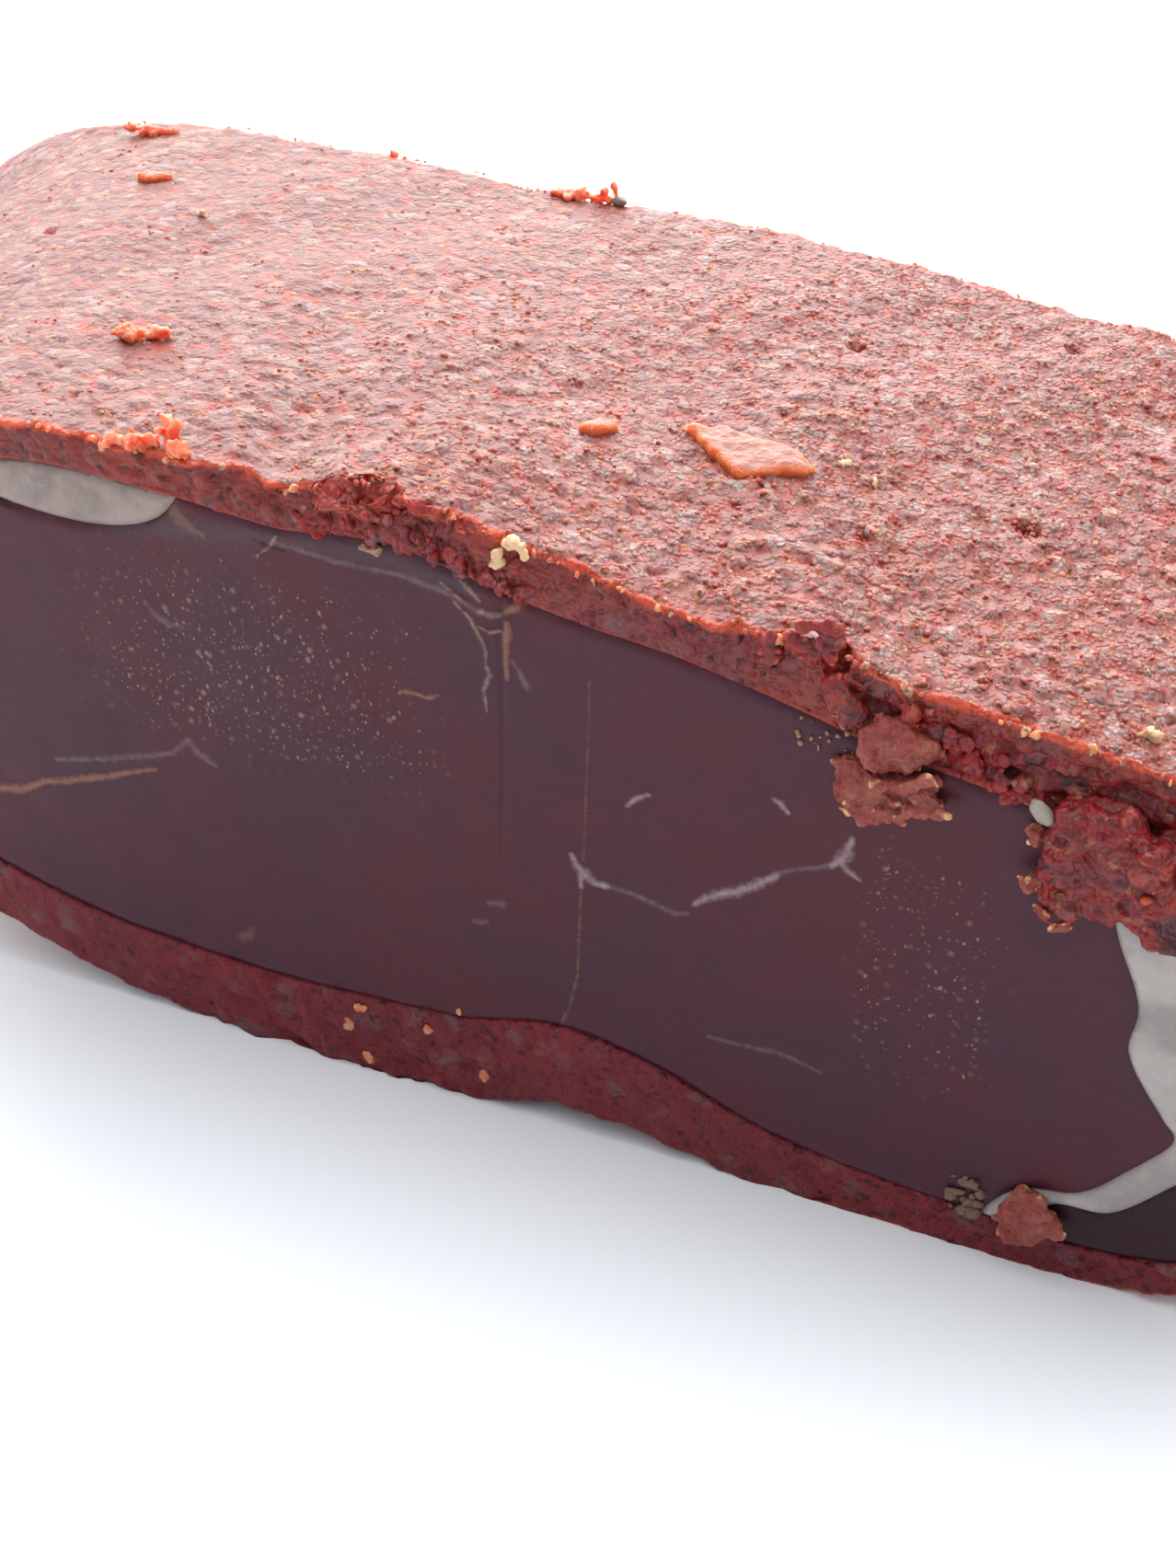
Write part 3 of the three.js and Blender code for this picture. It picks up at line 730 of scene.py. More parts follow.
    # Painted glow: orange is painted near the cut edges and along the lips of torn hollows, standing in for
    # light coming through thin paste; it reaches further at the left end and along the back cut, less far at
    # the right, none inside hollows, and on the lower paste it is painted mostly toward the right.
    glow_reach = 0.28 - 0.04 * soft_step(grid_q, 11, 13) + 0.1 * soft_step(-grid_q, 12, 20)
    glow_reach += np.where(front, 0, 0.18)
    rim = np.exp(-np.hypot(to_cut, below) / glow_reach) * np.where(hidden, 0, 1)
    rim = np.maximum(rim, lip) * (1 - hollowed) * (1 if upper_half else 0.3 + 0.7 * soft_step(grid_q, 8, 16))
    cut = np.where(on_band | hidden, 1.0, np.clip(1 - to_cut / 0.3, 0, 1))
    marks = {"relief": share, "flake": flake, "cut": cut, "rim": rim, "fresh": fresh, "deep": hollowed}
    shell = make(name, points, faces, finish, marks)
    for end in shell.data.polygons[-2:]:
        end.use_smooth = False
    return shell


def skewed(points, quads, normals, rows):
    """Whether the faces look into the paste."""
    middle = quads[len(quads) // 2 - (len(quads) // 2) % rows + rows // 4]
    a, b, c = points[middle[0]], points[middle[1]], points[middle[2]]
    return np.dot(np.cross(b - a, c - a), normals[middle[0]]) < 0


# ---- the meat and the fat ----


def edge_run(turn_from, turn_to, s, count):
    """Places across and heights along the inside of the paste, between two turns."""
    turns = np.linspace(turn_from, turn_to, 400)
    run = section(turns, s, 1.0, MEAT_GAP)
    return even(run[:, [0, 2]], count)


def turn_of(q, above=True):
    """The turn at which the meat's outline passes a place across."""
    turn = turn_at(q, 1.0, MEAT_GAP)
    return turn if above else 1 - turn


def meat_height(q, s, above):
    return section(turn_of(q, above), s, 1.0, MEAT_GAP)[:, 2]


def carried(path, s):
    """A path on the front cut, carried through the slab and cut off at the meat's edges."""
    q, z = path[:, 0], path[:, 1] + SWAY * np.sin(3 * s + path[:, 0] / 5)
    kept = (z < meat_height(q, s, True)) & (z > meat_height(q, s, False))
    first, last = np.nonzero(kept)[0][[0, -1]]
    return np.stack([q, z], axis=1)[first : last + 1]


def on_section(path, s):
    return np.stack([across(path[:, 0], s), path[:, 1]], axis=1)


def seam_paths(s):
    left = carried(smooth(SEAM_LEFT), s)
    right = carried(smooth(SEAM_RIGHT), s)
    return left, right


def cap_path(s):
    return carried(smooth(CAP_UNDER), s)


def looped(*runs):
    """A closed outline from runs that each end where the next one starts."""
    return np.vstack([run[:-1] for run in runs])


def main_ring(s):
    left, _ = seam_paths(s)
    cap = cap_path(s)
    return looped(
        edge_run(turn_of(left[-1, 0], False), 1.0, s, 210),
        edge_run(0.0, turn_of(cap[0, 0]), s, 90),
        even(on_section(cap, s), 60),
        edge_run(turn_of(cap[-1, 0]), turn_of(left[0, 0]), s, 130),
        even(on_section(left, s), 90),
    )


def side_ring(s):
    _, right = seam_paths(s)
    return looped(
        edge_run(turn_of(right[-1, 0]), 0.5, s, 60),
        edge_run(0.5, turn_of(right[0, 0], False), s, 90),
        even(on_section(right, s), 90),
    )


def seam_ring(s):
    left, right = seam_paths(s)
    return looped(
        even(on_section(left, s), 110),
        edge_run(turn_of(left[-1, 0], False), turn_of(right[0, 0], False), s, 12),
        even(on_section(right, s), 110),
        edge_run(turn_of(right[-1, 0]), turn_of(left[0, 0]), s, 30),
    )


def cap_ring(s):
    cap = cap_path(s)
    return looped(
        even(on_section(cap, s), 80),
        edge_run(turn_of(cap[-1, 0]), turn_of(cap[0, 0]), s, 70),
    )


def dusty(x, z):
    """How much spice dust sticks to the front face at a place."""
    left = np.exp(-(((x + 16.5) / 8.6) ** 4) - ((z - 22.6) / 4.9) ** 4)
    left *= 1 - 0.6 * soft_step(x, -8, -5) * (1 - soft_step(np.abs(z - 22.5), 2, 5))
    rows = 0.6 * np.exp(-(((x + 14) / 7.0) ** 4) - ((z - 19.2) / 0.5) ** 2)
    right = 0.5 * np.exp(-(((x - 16.5) / 3.4) ** 4) - ((z - 15) / 6.5) ** 4)
    column = 0.7 * np.exp(-(((x - 14.2) / 0.5) ** 2) - ((z - 16) / 5) ** 4)
    return np.clip(left + 0.8 * rows + right + column, 0, 1)


def face_marks(places):
    """How much of each vein, film, line and dust lies at places on the front face."""
    return {
        "white": nearest_of(places, [widened(path, 0.1) for path in WHITE_VEINS]),
        "grey": nearest_of(places, [widened(path, 0.1) for path in GREY_VEINS]),
        "tan": nearest_of(places, [widened(path, 0.06) for path in TAN_VEINS]),
        "fibre": nearest_of(places, [widened(path, 0.05) for path in PALE_FIBRES]),
        "brown": nearest_of(places, BROWN_LINES),
        "crack": nearest_of(places, CRACKS),
        "film": nearest_of(places, FILM),
        "dust": dusty(places[:, 0], places[:, 1]),
    }


ALL_PATHS = WHITE_VEINS + GREY_VEINS + TAN_VEINS + PALE_FIBRES + BROWN_LINES + CRACKS


def face_hollow(places):
    """How far the front face of the meat lies back at places of (across, height)."""
    spots = np.stack([places[:, 0], np.zeros(len(places)), places[:, 1]], axis=1)
    return 0.12 * drift(spots, 7.0, 71) + 0.035 * drift(spots, 1.6, 72)


def meat_body(name, ring_at, step, finish, bulge=0.0, detailed=True):
    """A closed body between the two cuts, with a fine front face."""
    stations = np.linspace(0, 1, 15)
    rings = [ring_at(s) for s in stations]
    count = len(rings[0])
    front, front_faces = filled(rings[0], step, ALL_PATHS if detailed else ())
    back, back_faces = filled(rings[-1], step * 1.6)

    edge = edge_distance(front, rings[0])
    marks = face_marks(front)
    hollow = face_hollow(front)
    hollow += 0.16 * np.clip(1 - edge / 0.45, 0, 1) ** 2
    hollow -= bulge * (1 - np.exp(-edge / 0.35))
    hollow += 0.07 * marks["crack"] - 0.08 * marks["tan"] - 0.06 * marks["fibre"] - 0.03 * marks["white"]
    front_points = np.stack([front[:, 0], FRONT_Y + hollow, front[:, 1]], axis=1)

    back_spots = np.stack([back[:, 0], np.full(len(back), 9.0), back[:, 1]], axis=1)
    back_edge = edge_distance(back, rings[-1])
    back_hollow = 0.12 * drift(back_spots, 6.0, 73) + 0.16 * np.clip(1 - back_edge / 0.45, 0, 1) ** 2
    back_hollow -= bulge * (1 - np.exp(-back_edge / 0.35))
    back_points = np.stack([back[:, 0], BACK_Y - back_hollow, back[:, 1]], axis=1)

    walls = [
        np.stack([ring[:, 0], np.full(count, (s - 0.5) * DEPTH), ring[:, 1]], axis=1)
        for ring, s in zip(rings[1:-1], stations[1:-1])
    ]
    points = np.vstack([front_points, *walls, back_points])
    starts = [0] + [len(front) + i * count for i in range(len(walls))] + [len(front) + len(walls) * count]
    i = np.arange(count)
    j = (i + 1) % count
    quads = [np.stack([a + i, a + j, b + j, b + i], axis=1) for a, b in itertools.pairwise(starts)]
    quads = np.vstack(quads)
    if not clockwise(rings[0]):
        quads = quads[:, ::-1]
    faces = [quads, front_faces, back_faces[:, ::-1] + starts[-1]]
    rest = np.zeros(len(points) - len(front))
    body_marks = {label: np.r_[values, rest] for label, values in marks.items()}
    body_marks["edge"] = np.r_[edge, np.zeros(len(points) - len(front) - len(back)), back_edge]
    piece = make(name, points, faces, finish, body_marks, sharp=50)
    fix_winding(piece)
    return piece


def clockwise(ring):
    """Whether an outline on the front face runs clockwise."""
    following = np.roll(ring, -1, axis=0)
    return np.sum(ring[:, 0] * following[:, 1] - following[:, 0] * ring[:, 1]) < 0


def fix_winding(piece):
    """Makes all faces of a closed mesh look outwards."""
    shape = bmesh.new()
    shape.from_mesh(piece.data)
    bmesh.ops.recalc_face_normals(shape, faces=shape.faces)
    shape.to_mesh(piece.data)
    shape.free()


# ---- broken pieces ----


def ridges(points, quads, normals):
    """1 along thin edges and tips, 0 in hollows."""
    starts, ends = quads.ravel(), np.roll(quads, -1, axis=1).ravel()
    count = len(points)
    near = np.zeros_like(points)
    number = np.zeros(count)
    for a, b in ((starts, ends), (ends, starts)):
        for k in range(3):
            near[:, k] += np.bincount(a, points[b, k], count)
        number += np.bincount(a, minlength=count)
    step = near / number[:, None] - points
    bend = -np.einsum("ij,ij->i", step, normals)
    for _ in range(4):
        total = np.bincount(starts, bend[ends], count) + np.bincount(ends, bend[starts], count)
        bend = 0.5 * bend + 0.5 * total / number
    return soft_step(bend, 0.002, 0.022)


def fused(name, parts, voxel, finish, sizes, relief=0.8, rim=0.0, broken=1.0):
    """Lumps grown into one piece with a grainy, broken surface."""
    points, triangles = joined(parts)
    rough = bpy.data.meshes.new(name + "_lumps")
    rough.from_pydata(points, [], triangles.tolist())
    helper = bpy.data.objects.new(name + "_lumps", rough)
    bpy.context.scene.collection.objects.link(helper)
    modifier = helper.modifiers.new("Fuse", "REMESH")
    modifier.mode = "VOXEL"
    modifier.voxel_size = voxel
    bpy.context.view_layer.update()
    evaluated = helper.evaluated_get(bpy.context.evaluated_depsgraph_get())
    fused_mesh = bpy.data.meshes.new_from_object(evaluated)
    count = len(fused_mesh.vertices)
    points = np.empty(count * 3, np.float32)
    fused_mesh.vertices.foreach_get("co", points)
    points = points.reshape(-1, 3).astype(float)
    normals = np.empty(count * 3, np.float32)
    fused_mesh.vertices.foreach_get("normal", normals)
    normals = normals.reshape(-1, 3)
    quads = np.empty(len(fused_mesh.loops), np.int32)
    fused_mesh.loops.foreach_get("vertex_index", quads)
    quads = quads.reshape(-1, 4)
    bpy.data.objects.remove(helper)
    bpy.data.meshes.remove(rough)
    bpy.data.meshes.remove(fused_mesh)
    ridge = ridges(points, quads, normals)
    height, share, flake = paste_relief(points, sizes)
    points += normals * (relief * height + broken * creases(points))[:, None]
    everywhere = np.ones(count)
    # Painted glow: the orange edge colour is marked on the piece's ridges and tips.
    marks = {"relief": share, "flake": flake, "cut": everywhere, "rim": rim * ridge, "fresh": everywhere,
             "ridge": ridge}
    return make(name, points, [quads], finish, marks)


# ---- finishes ----


class Wire:
    """An output socket. Arithmetic on it adds Math nodes."""

    def __init__(self, tree, socket):
        self.tree = tree
        self.socket = socket

    def math(self, operation, *values):
        made = self.tree.nodes.new("ShaderNodeMath")
        made.operation = operation
        for place, value in zip(made.inputs, values):
            feed(self.tree, place, value)
        return Wire(self.tree, made.outputs[0])

    def __add__(self, other):
        return self.math("ADD", self, other)

    def __sub__(self, other):
        return self.math("SUBTRACT", self, other)

    def __rsub__(self, other):
        return self.math("SUBTRACT", other, self)

    def __mul__(self, other):
        return self.math("MULTIPLY", self, other)

    def __truediv__(self, other):
        return self.math("DIVIDE", self, other)

    def __pow__(self, other):
        return self.math("POWER", self, other)

    __radd__ = __add__
    __rmul__ = __mul__


def feed(tree, place, value):
    """Links a wire to a socket, or sets the socket's own value."""
    if isinstance(value, Wire):
        tree.links.new(value.socket, place)
    elif place.type == "RGBA":
        place.default_value = (*value[:3], 1.0)
    else:
        place.default_value = value


class Nodes:
    """A node tree in the making."""

    def __init__(self, tree):
        self.tree = tree

    def node(self, kind, settings=None, inputs=None, output=0):
        made = self.tree.nodes.new(kind)
        for label, value in (settings or {}).items():
            if label == "stops":
                set_stops(made.color_ramp, value)
            else:
                setattr(made, label, value)
        for label, value in (inputs or {}).items():
            feed(self.tree, made.inputs[label], value)
        return Wire(self.tree, made.outputs[output])

    def step(self, value, low, high):
        inputs = {"Value": value, "From Min": low, "From Max": high}
        return self.node("ShaderNodeMapRange", {"interpolation_type": "SMOOTHSTEP"}, inputs)

    def mix(self, factor, a, b):
        return self.node("ShaderNodeMix", {"data_type": "RGBA"}, {0: factor, 6: a, 7: b}, 2)

    def layered(self, colour, *layers):
        """A colour with layers of (factor, colour) mixed over it, one after the other."""
        for factor, over in layers:
            colour = self.mix(factor, colour, over)
        return colour


class Finish(Nodes):
    """A material in the making: its nodes and its surface shader."""

    def __init__(self, name, fixed):
        self.material = bpy.data.materials.new(name)
        self.material.use_nodes = True
        super().__init__(self.material.node_tree)
        self.shader = self.tree.nodes["Principled BSDF"]
        for label, value in fixed.items():
            self.shader.inputs[label].default_value = value
        coordinates = self.node("ShaderNodeTexCoord", output="Object")
        scale = {0: coordinates, 1: (1000.0, 1000.0, 1000.0)}
        self.place = self.node("ShaderNodeVectorMath", {"operation": "MULTIPLY"}, scale)

    def mark(self, label):
        return self.node("ShaderNodeAttribute", {"attribute_name": label}, output="Fac")

    def noise(self, scale, detail=2.0, roughness=0.55, place=None, output="Fac"):
        inputs = {"Vector": place or self.place, "Scale": scale, "Detail": detail, "Roughness": roughness}
        return self.node("ShaderNodeTexNoise", inputs=inputs, output=output)

    def stretched(self, factors):
        return self.node("ShaderNodeVectorMath", {"operation": "MULTIPLY"}, {0: self.place, 1: factors})

    def swirled(self, scale, amount):
        """Places shifted about, so that cells get uneven outlines."""
        shift = self.noise(scale, 2.0, output="Color")
        inputs = {0: shift, 1: (amount, amount, amount), 2: self.place}
        return self.node("ShaderNodeVectorMath", {"operation": "MULTIPLY_ADD"}, inputs)

    def cells(self, scale, place=None):
        """How far from the middle of a scattered cell, and a number from 0 to 1 for each cell."""
        inputs = {"Vector": place or self.place, "Scale": scale}
        far = self.node("ShaderNodeTexVoronoi", inputs=inputs, output="Distance")
        tint = Wire(self.tree, far.socket.node.outputs["Color"])
        return far, self.node("ShaderNodeSeparateColor", inputs={0: tint})

    def ramp(self, value, stops):
        return self.node("ShaderNodeValToRGB", {"stops": stops}, {0: value})

    def across(self):
        """How far to the right, in millimetres from the middle of the chunk."""
        return self.node("ShaderNodeSeparateXYZ", inputs={0: self.place})

    def bump(self, height, distance):
        inputs = {"Height": height, "Distance": distance * MM, "Strength": 1.0}
        return self.node("ShaderNodeBump", inputs=inputs)

    def surface(self, **links):
        for label, value in links.items():
            feed(self.tree, self.shader.inputs[label.replace("_", " ")], value)
        return self.material


def set_stops(ramp, stops):
    while len(ramp.elements) < len(stops):
        ramp.elements.new(1.0)
    for element, (position, colour) in zip(ramp.elements, stops):
        element.position = position
        element.color = (*colour, 1.0)


def glow(gloss, weight, radius, scale):
    """The fixed settings of a surface that lets some light through, to a depth in millimetres."""
    return {"Specular IOR Level": gloss, "Subsurface Weight": weight, "Subsurface Radius": radius,
            "Subsurface Scale": scale * MM}


def paste_finish(name, colours, gloss, cut_wet):
    """Grainy paste: its dusty top, its wet cut and the red where it is freshly torn or broken, with painted
    shade and glow in its dips and crevices, painted glow in its pits and along its thin edges.
    """
    finish = Finish(name, glow(gloss, 0.6, (1.0, 0.2, 0.08), 0.7))
    relief, cut, rim, flake = (finish.mark(label) for label in ("relief", "cut", "rim", "flake"))
    fresh, deep = finish.mark("fresh"), finish.mark("deep")
    rightward = finish.step(finish.across(), -40.0, 40.0)
    patches = finish.noise(0.16, 3.0)
    fine = finish.noise(3.2, 4.0, 0.6)
    soft = finish.noise(0.9, 3.0, 0.5)
    bent = finish.swirled(1.3, 0.5)
    far, pick = finish.cells(1.15, bent)
    small_far, small_pick = finish.cells(3.0, bent)
    pebble = finish.step(far, 0.72, 0.12) * (0.35 + pick * 0.65)
    crumb = finish.step(small_far, 0.7, 0.1) * (0.25 + small_pick * 0.75)

    low = finish.step(relief + fine * 0.3, 0.42, 0.05)
    crevice = finish.step(far, 0.52, 0.78) * finish.step(soft + rightward * 0.12, 0.46, 0.6)
    narrow = finish.step(small_far, 0.42, 0.7)
    crevice_small = narrow * (0.1 + rightward * 0.75)
    top = finish.layered(
        colours.paste,
        (finish.step(soft, 0.3, 0.7), colours.paste_pale),
        (rightward * rightward * 0.34, (0.35, 0.175, 0.15)),
        (finish.step(small_pick, 0.3, 0.95) * 0.3, (0.36, 0.14, 0.10)),
        (finish.step(pick, 0.82, 0.9) * (0.3 + rightward * 0.5), (0.40, 0.29, 0.26)),
        (finish.step(small_pick, 0.93, 0.97) * 0.6, (0.60, 0.24, 0.08)),
        # Painted shade and glow: the dips and crevices between the grains are painted a deeper, more
        # saturated red.
        (low * (0.6 + rightward * 0.35), colours.paste_deep),
        (crevice * 0.8, (0.36, 0.034, 0.010)),
        (crevice_small, (0.26, 0.032, 0.016)),
        (finish.step(small_pick, 0.025, 0.015) * 0.5, (0.08, 0.055, 0.06)),
    )
    side = finish.layered(
        cut_wet,
        (finish.step(patches + fine * 0.6, 0.5, 1.1), colours.paste_cut),
        (finish.step(small_pick, 0.86, 0.92) * 0.6, (0.05, 0.010, 0.014)),
        (finish.step(pick, 0.88, 0.95) * 0.5, (0.16, 0.075, 0.085)),
        # Painted shade: the low places of the cut side are painted darker.
        (low * 0.4, (0.14, 0.010, 0.009)),
    )
    strata = finish.noise(0.75, 4.0, 0.6, finish.stretched((0.5, 0.8, 1.6)))
    broken = finish.layered(
        (0.30, 0.012, 0.012),
        (finish.step(strata + fine * 0.3, 0.56, 0.74), (0.205, 0.032, 0.038)),
        (finish.step(relief + fine * 0.4, 0.75, 1.15) * 0.5, (0.40, 0.045, 0.018)),
        # Painted shade: the crevices of the broken layers are painted darker.
        (crevice_small * 0.35 + crevice * 0.7, (0.13, 0.009, 0.009)),
        (finish.step(pick * 0.7 + strata * 0.5, 0.88, 0.96) * 0.75, (0.035, 0.022, 0.028)),
        (finish.step(small_pick, 0.94, 0.97) * 0.5, (0.50, 0.20, 0.09)),
    )
    torn = finish.layered(
        (0.40, 0.020, 0.012),
        (finish.step(soft + fine * 0.4, 0.55, 0.85), (0.50, 0.085, 0.060)),
        # Painted shade: the narrow gaps between the grains are painted darker.
        (narrow * 0.6, (0.17, 0.010, 0.009)),
    )
    colour = finish.mix(cut, top, side)
    # Freshly broken paste takes the broken and torn reds; in the pits this torn red is painted glow.
    colour = finish.mix(fresh * 0.9, colour, finish.mix(deep, broken, torn))
    kinds = finish.ramp((flake - 0.84) * 6.2, (
        (0.0, (0.36, 0.19, 0.15)), (0.3, (0.30, 0.19, 0.16)), (0.5, (0.34, 0.20, 0.09)),
        (0.7, (0.50, 0.17, 0.07)), (1.0, (0.38, 0.20, 0.16)),
    ))
    colour = finish.mix(finish.step(flake, 0.3, 0.82) * (0.5 - cut * 0.4), colour, kinds)
    # Painted glow: orange is painted along thin edges, patchy and a little weaker toward the right, standing
    # in for light coming through the paste.
    thin = finish.step(rim * (0.5 + patches) + (fine - 0.5) * 0.7 + (soft - 0.5) * 0.6, 0.28, 0.62)
    colour = finish.mix(thin * (0.92 - rightward * 0.2), colour, colours.rim)
    coarse = pebble * (0.3 + rightward * 0.3) + crumb * (0.16 + rightward * 0.6) * (1 - fresh * 0.5)
    coarse += crumb * deep * 0.8
    normal = finish.bump(coarse + fine * 0.12 + soft * 0.2, 0.28)
    rough = 0.46 + fine * 0.16 - rightward * 0.14
    return finish.surface(Base_Color=colour, Roughness=rough, Normal=normal)


def grain_finish():
    """Loose grains, each with a tint of its own."""
    finish = Finish("spice_grains", glow(0.6, 0.6, (1.0, 0.25, 0.1), 0.5))
    fine = finish.noise(5.0, 3.0)
    tints = finish.ramp(finish.mark("pick"), (
        (0.0, (0.36, 0.035, 0.014)), (0.3, (0.42, 0.09, 0.05)), (0.6, (0.46, 0.16, 0.11)),
        (0.9, (0.50, 0.16, 0.07)), (0.97, (0.54, 0.34, 0.18)), (1.0, (0.32, 0.24, 0.21)),
    ))
    shade = finish.mix(fine * 0.4, tints, (0.22, 0.02, 0.01))
    return finish.surface(Base_Color=shade, Roughness=0.28 + fine * 0.2, Normal=finish.bump(fine, 0.1))


def crumb_finish(name, deep, middle, pale):
    """Translucent crumbs in three tints, with orange painted at their edges as glow of light coming through.
    """
    finish = Finish(name, glow(0.5, 1.0, (1.0, 0.35, 0.15), 0.9))
    cloud, fine = finish.noise(1.1, 3.0), finish.noise(4.0, 3.0)
    shade = finish.layered(
        deep,
        (finish.step(cloud, 0.38, 0.6), middle),
        (finish.step(fine, 0.5, 0.7) * 0.5, pale),
        # Painted glow: orange painted at the marked edges.
        (finish.step(finish.mark("rim") + (fine - 0.5), 0.3, 0.8), (0.72, 0.20, 0.06)),
    )
    normal = finish.bump(fine + cloud, 0.15)
    return finish.surface(Base_Color=shade, Roughness=0.35 + fine * 0.2, Normal=normal)


def husk_finish():
    """Translucent, tan and orange skins, with a golden highlight painted along their edges and tips."""
    finish = Finish("husk", glow(0.5, 0.7, (1.0, 0.35, 0.15), 0.6))
    cloud, fine = finish.noise(0.9, 4.0, 0.6), finish.noise(3.5, 4.0)
    # Painted highlight: golden along ridges and tips.
    golden = finish.step(finish.mark("ridge") + (fine - 0.5) * 0.8, 0.12, 0.5)
    shade = finish.layered(
        (0.29, 0.040, 0.028),
        (finish.step(cloud, 0.42, 0.6), (0.35, 0.088, 0.062)),
        (finish.step(fine, 0.5, 0.7) * 0.7, (0.16, 0.016, 0.012)),
        (golden * 0.9, (0.80, 0.48, 0.24)),
    )
    normal = finish.bump(fine + cloud, 0.25)
    return finish.surface(Base_Color=shade, Roughness=0.28 + fine * 0.2, Normal=normal)


# What lies on the meat's face: mark, where it starts and is full, strength, colour, raggedness.
FACE_LAYERS = (
    ("film", 0.05, 1.1, 0.45, (0.070, 0.050, 0.064), 1.0),
    # The dark of the cracks is painted shade.
    ("crack", 0.0, 0.9, 0.5, (0.045, 0.007, 0.010), 1.0),
    ("brown", 0.1, 0.9, 0.45, (0.21, 0.11, 0.07), 2.0),
    ("grey", 0.1, 1.5, 0.6, (0.20, 0.14, 0.155), 1.8),
    ("white", 0.1, 1.35, 0.85, (0.36, 0.26, 0.27), 1.5),
    ("tan", 0.05, 1.0, 0.8, (0.26, 0.105, 0.06), 1.4),
    ("fibre", 0.15, 1.3, 0.7, (0.32, 0.235, 0.17), 1.8),
)


def lean_finish(name, lean):
    """Meat with soft patches and streaks, and under them the veins, films and dust of the cut face."""
    finish = Finish(name, glow(0.27, 0.08, (1.0, 0.3, 0.3), 0.8))
    bluish = (lean[0] * 0.86, lean[1] * 1.2, lean[2] * 1.25)
    reddish = (lean[0] * 1.15, lean[1] * 0.97, lean[2] * 0.9)
    patches = finish.noise(0.13, 4.0, 0.55)
    streaks = finish.noise(0.9, 4.0, 0.6, finish.stretched((0.35, 1.0, 1.6)))
    fine = finish.noise(4.0, 3.0)
    ragged = finish.noise(2.6, 4.0, 0.65) - 0.5
    colour = finish.mix(finish.step(patches, 0.34, 0.64), bluish, reddish)
    colour = finish.mix(finish.step(streaks, 0.45, 0.7) * 0.3, colour, tuple(c * 0.65 for c in lean))

    for label, low, high, strength, tint, rough in FACE_LAYERS:
        mark = finish.mark(label)
        mask = finish.step(mark + ragged * rough, low, high) * finish.step(mark, 0.0, 0.2)
        colour = finish.mix(mask * strength, colour, tint)
    dust = finish.mark("dust")
    for scale, spot in ((1.3, 0.3), (2.4, 0.32)):
        far, kind = finish.cells(scale)
        dot = finish.step(far, spot, 0.04) * finish.step(kind, 0.25, 0.9) * dust
        colour = finish.mix(dot * 0.85, colour, (0.28, 0.17, 0.12))
    normal = finish.bump(streaks * 0.5 + fine * 0.25, 0.05)
    return finish.surface(Base_Color=colour, Roughness=0.34 + fine * 0.22, Normal=normal)


def fat_finish(name, fat):
    """Cloudy fat, dull along its edges."""
    finish = Finish(name, glow(0.5, 0.35, (1.0, 0.6, 0.5), 1.0))
    patches = finish.noise(0.45, 3.0, 0.5)
    fine = finish.noise(2.4, 4.0)
    cloud = finish.noise(0.9, 4.0, 0.6)
    dull = (fat[0] * 0.62, fat[1] * 0.60, fat[2] * 0.60)
    edge = finish.step(finish.mark("edge") + (cloud - 0.5) * 1.3, -0.25, 0.16)
    colour = finish.layered(
        fat,
        (finish.step(patches, 0.38, 0.66) * 0.8, dull),
        (finish.step(fine, 0.55, 0.8) * 0.4, tuple(c * 1.35 for c in fat)),
        ((1 - edge) * 0.6, (0.14, 0.085, 0.08)),
    )
    normal = finish.bump(fine * 0.4 + patches, 0.12)
    return finish.surface(Base_Color=colour, Roughness=0.4 + fine * 0.15, Normal=normal)


def plain_finish(name, colour, roughness, weight=0.0, scale=0.0):
    """One slightly speckled colour, with light let through to a depth in millimetres."""
    through = {"Subsurface Weight": weight, "Subsurface Scale": scale * MM} if weight else {}
    finish = Finish(name, {"Roughness": roughness, **through})
    speckle = finish.noise(5.0, 3.0)
    shade = finish.mix(speckle, tuple(c * 0.75 for c in colour), tuple(min(c * 1.2, 1) for c in colour))
    return finish.surface(Base_Color=shade, Normal=finish.bump(speckle, 0.08))


# Plain finishes: colour, roughness, how much light comes through and how deep.
PLAIN = {
    "pale_crumb": ((0.74, 0.52, 0.29), 0.45, 0.5, 0.5),
    "dull_crumb": ((0.16, 0.085, 0.055), 0.4),
    "golden_grain": ((0.34, 0.18, 0.10), 0.4, 0.4, 0.4),
    "pale_speck": ((0.25, 0.145, 0.115), 0.6),
    "seed": ((0.34, 0.30, 0.24), 0.35, 0.6, 0.6),
}
# Crumb finishes: their deep, middle and pale tints.
CRUMBS = {
    "orange_crumb": ((0.72, 0.12, 0.045), (0.78, 0.27, 0.14), (0.80, 0.36, 0.22)),
    "salmon_flake": ((0.40, 0.13, 0.09), (0.46, 0.20, 0.15), (0.52, 0.26, 0.19)),
}
LOW_PASTE_WET = (0.20, 0.016, 0.022)
SIDE_MEAT_SHADE = 0.36  # the small muscle is darker than the large one
STRIP_SHADES = (0.74, 0.64, 0.60)  # the strip of fat is darker and yellower than the seam


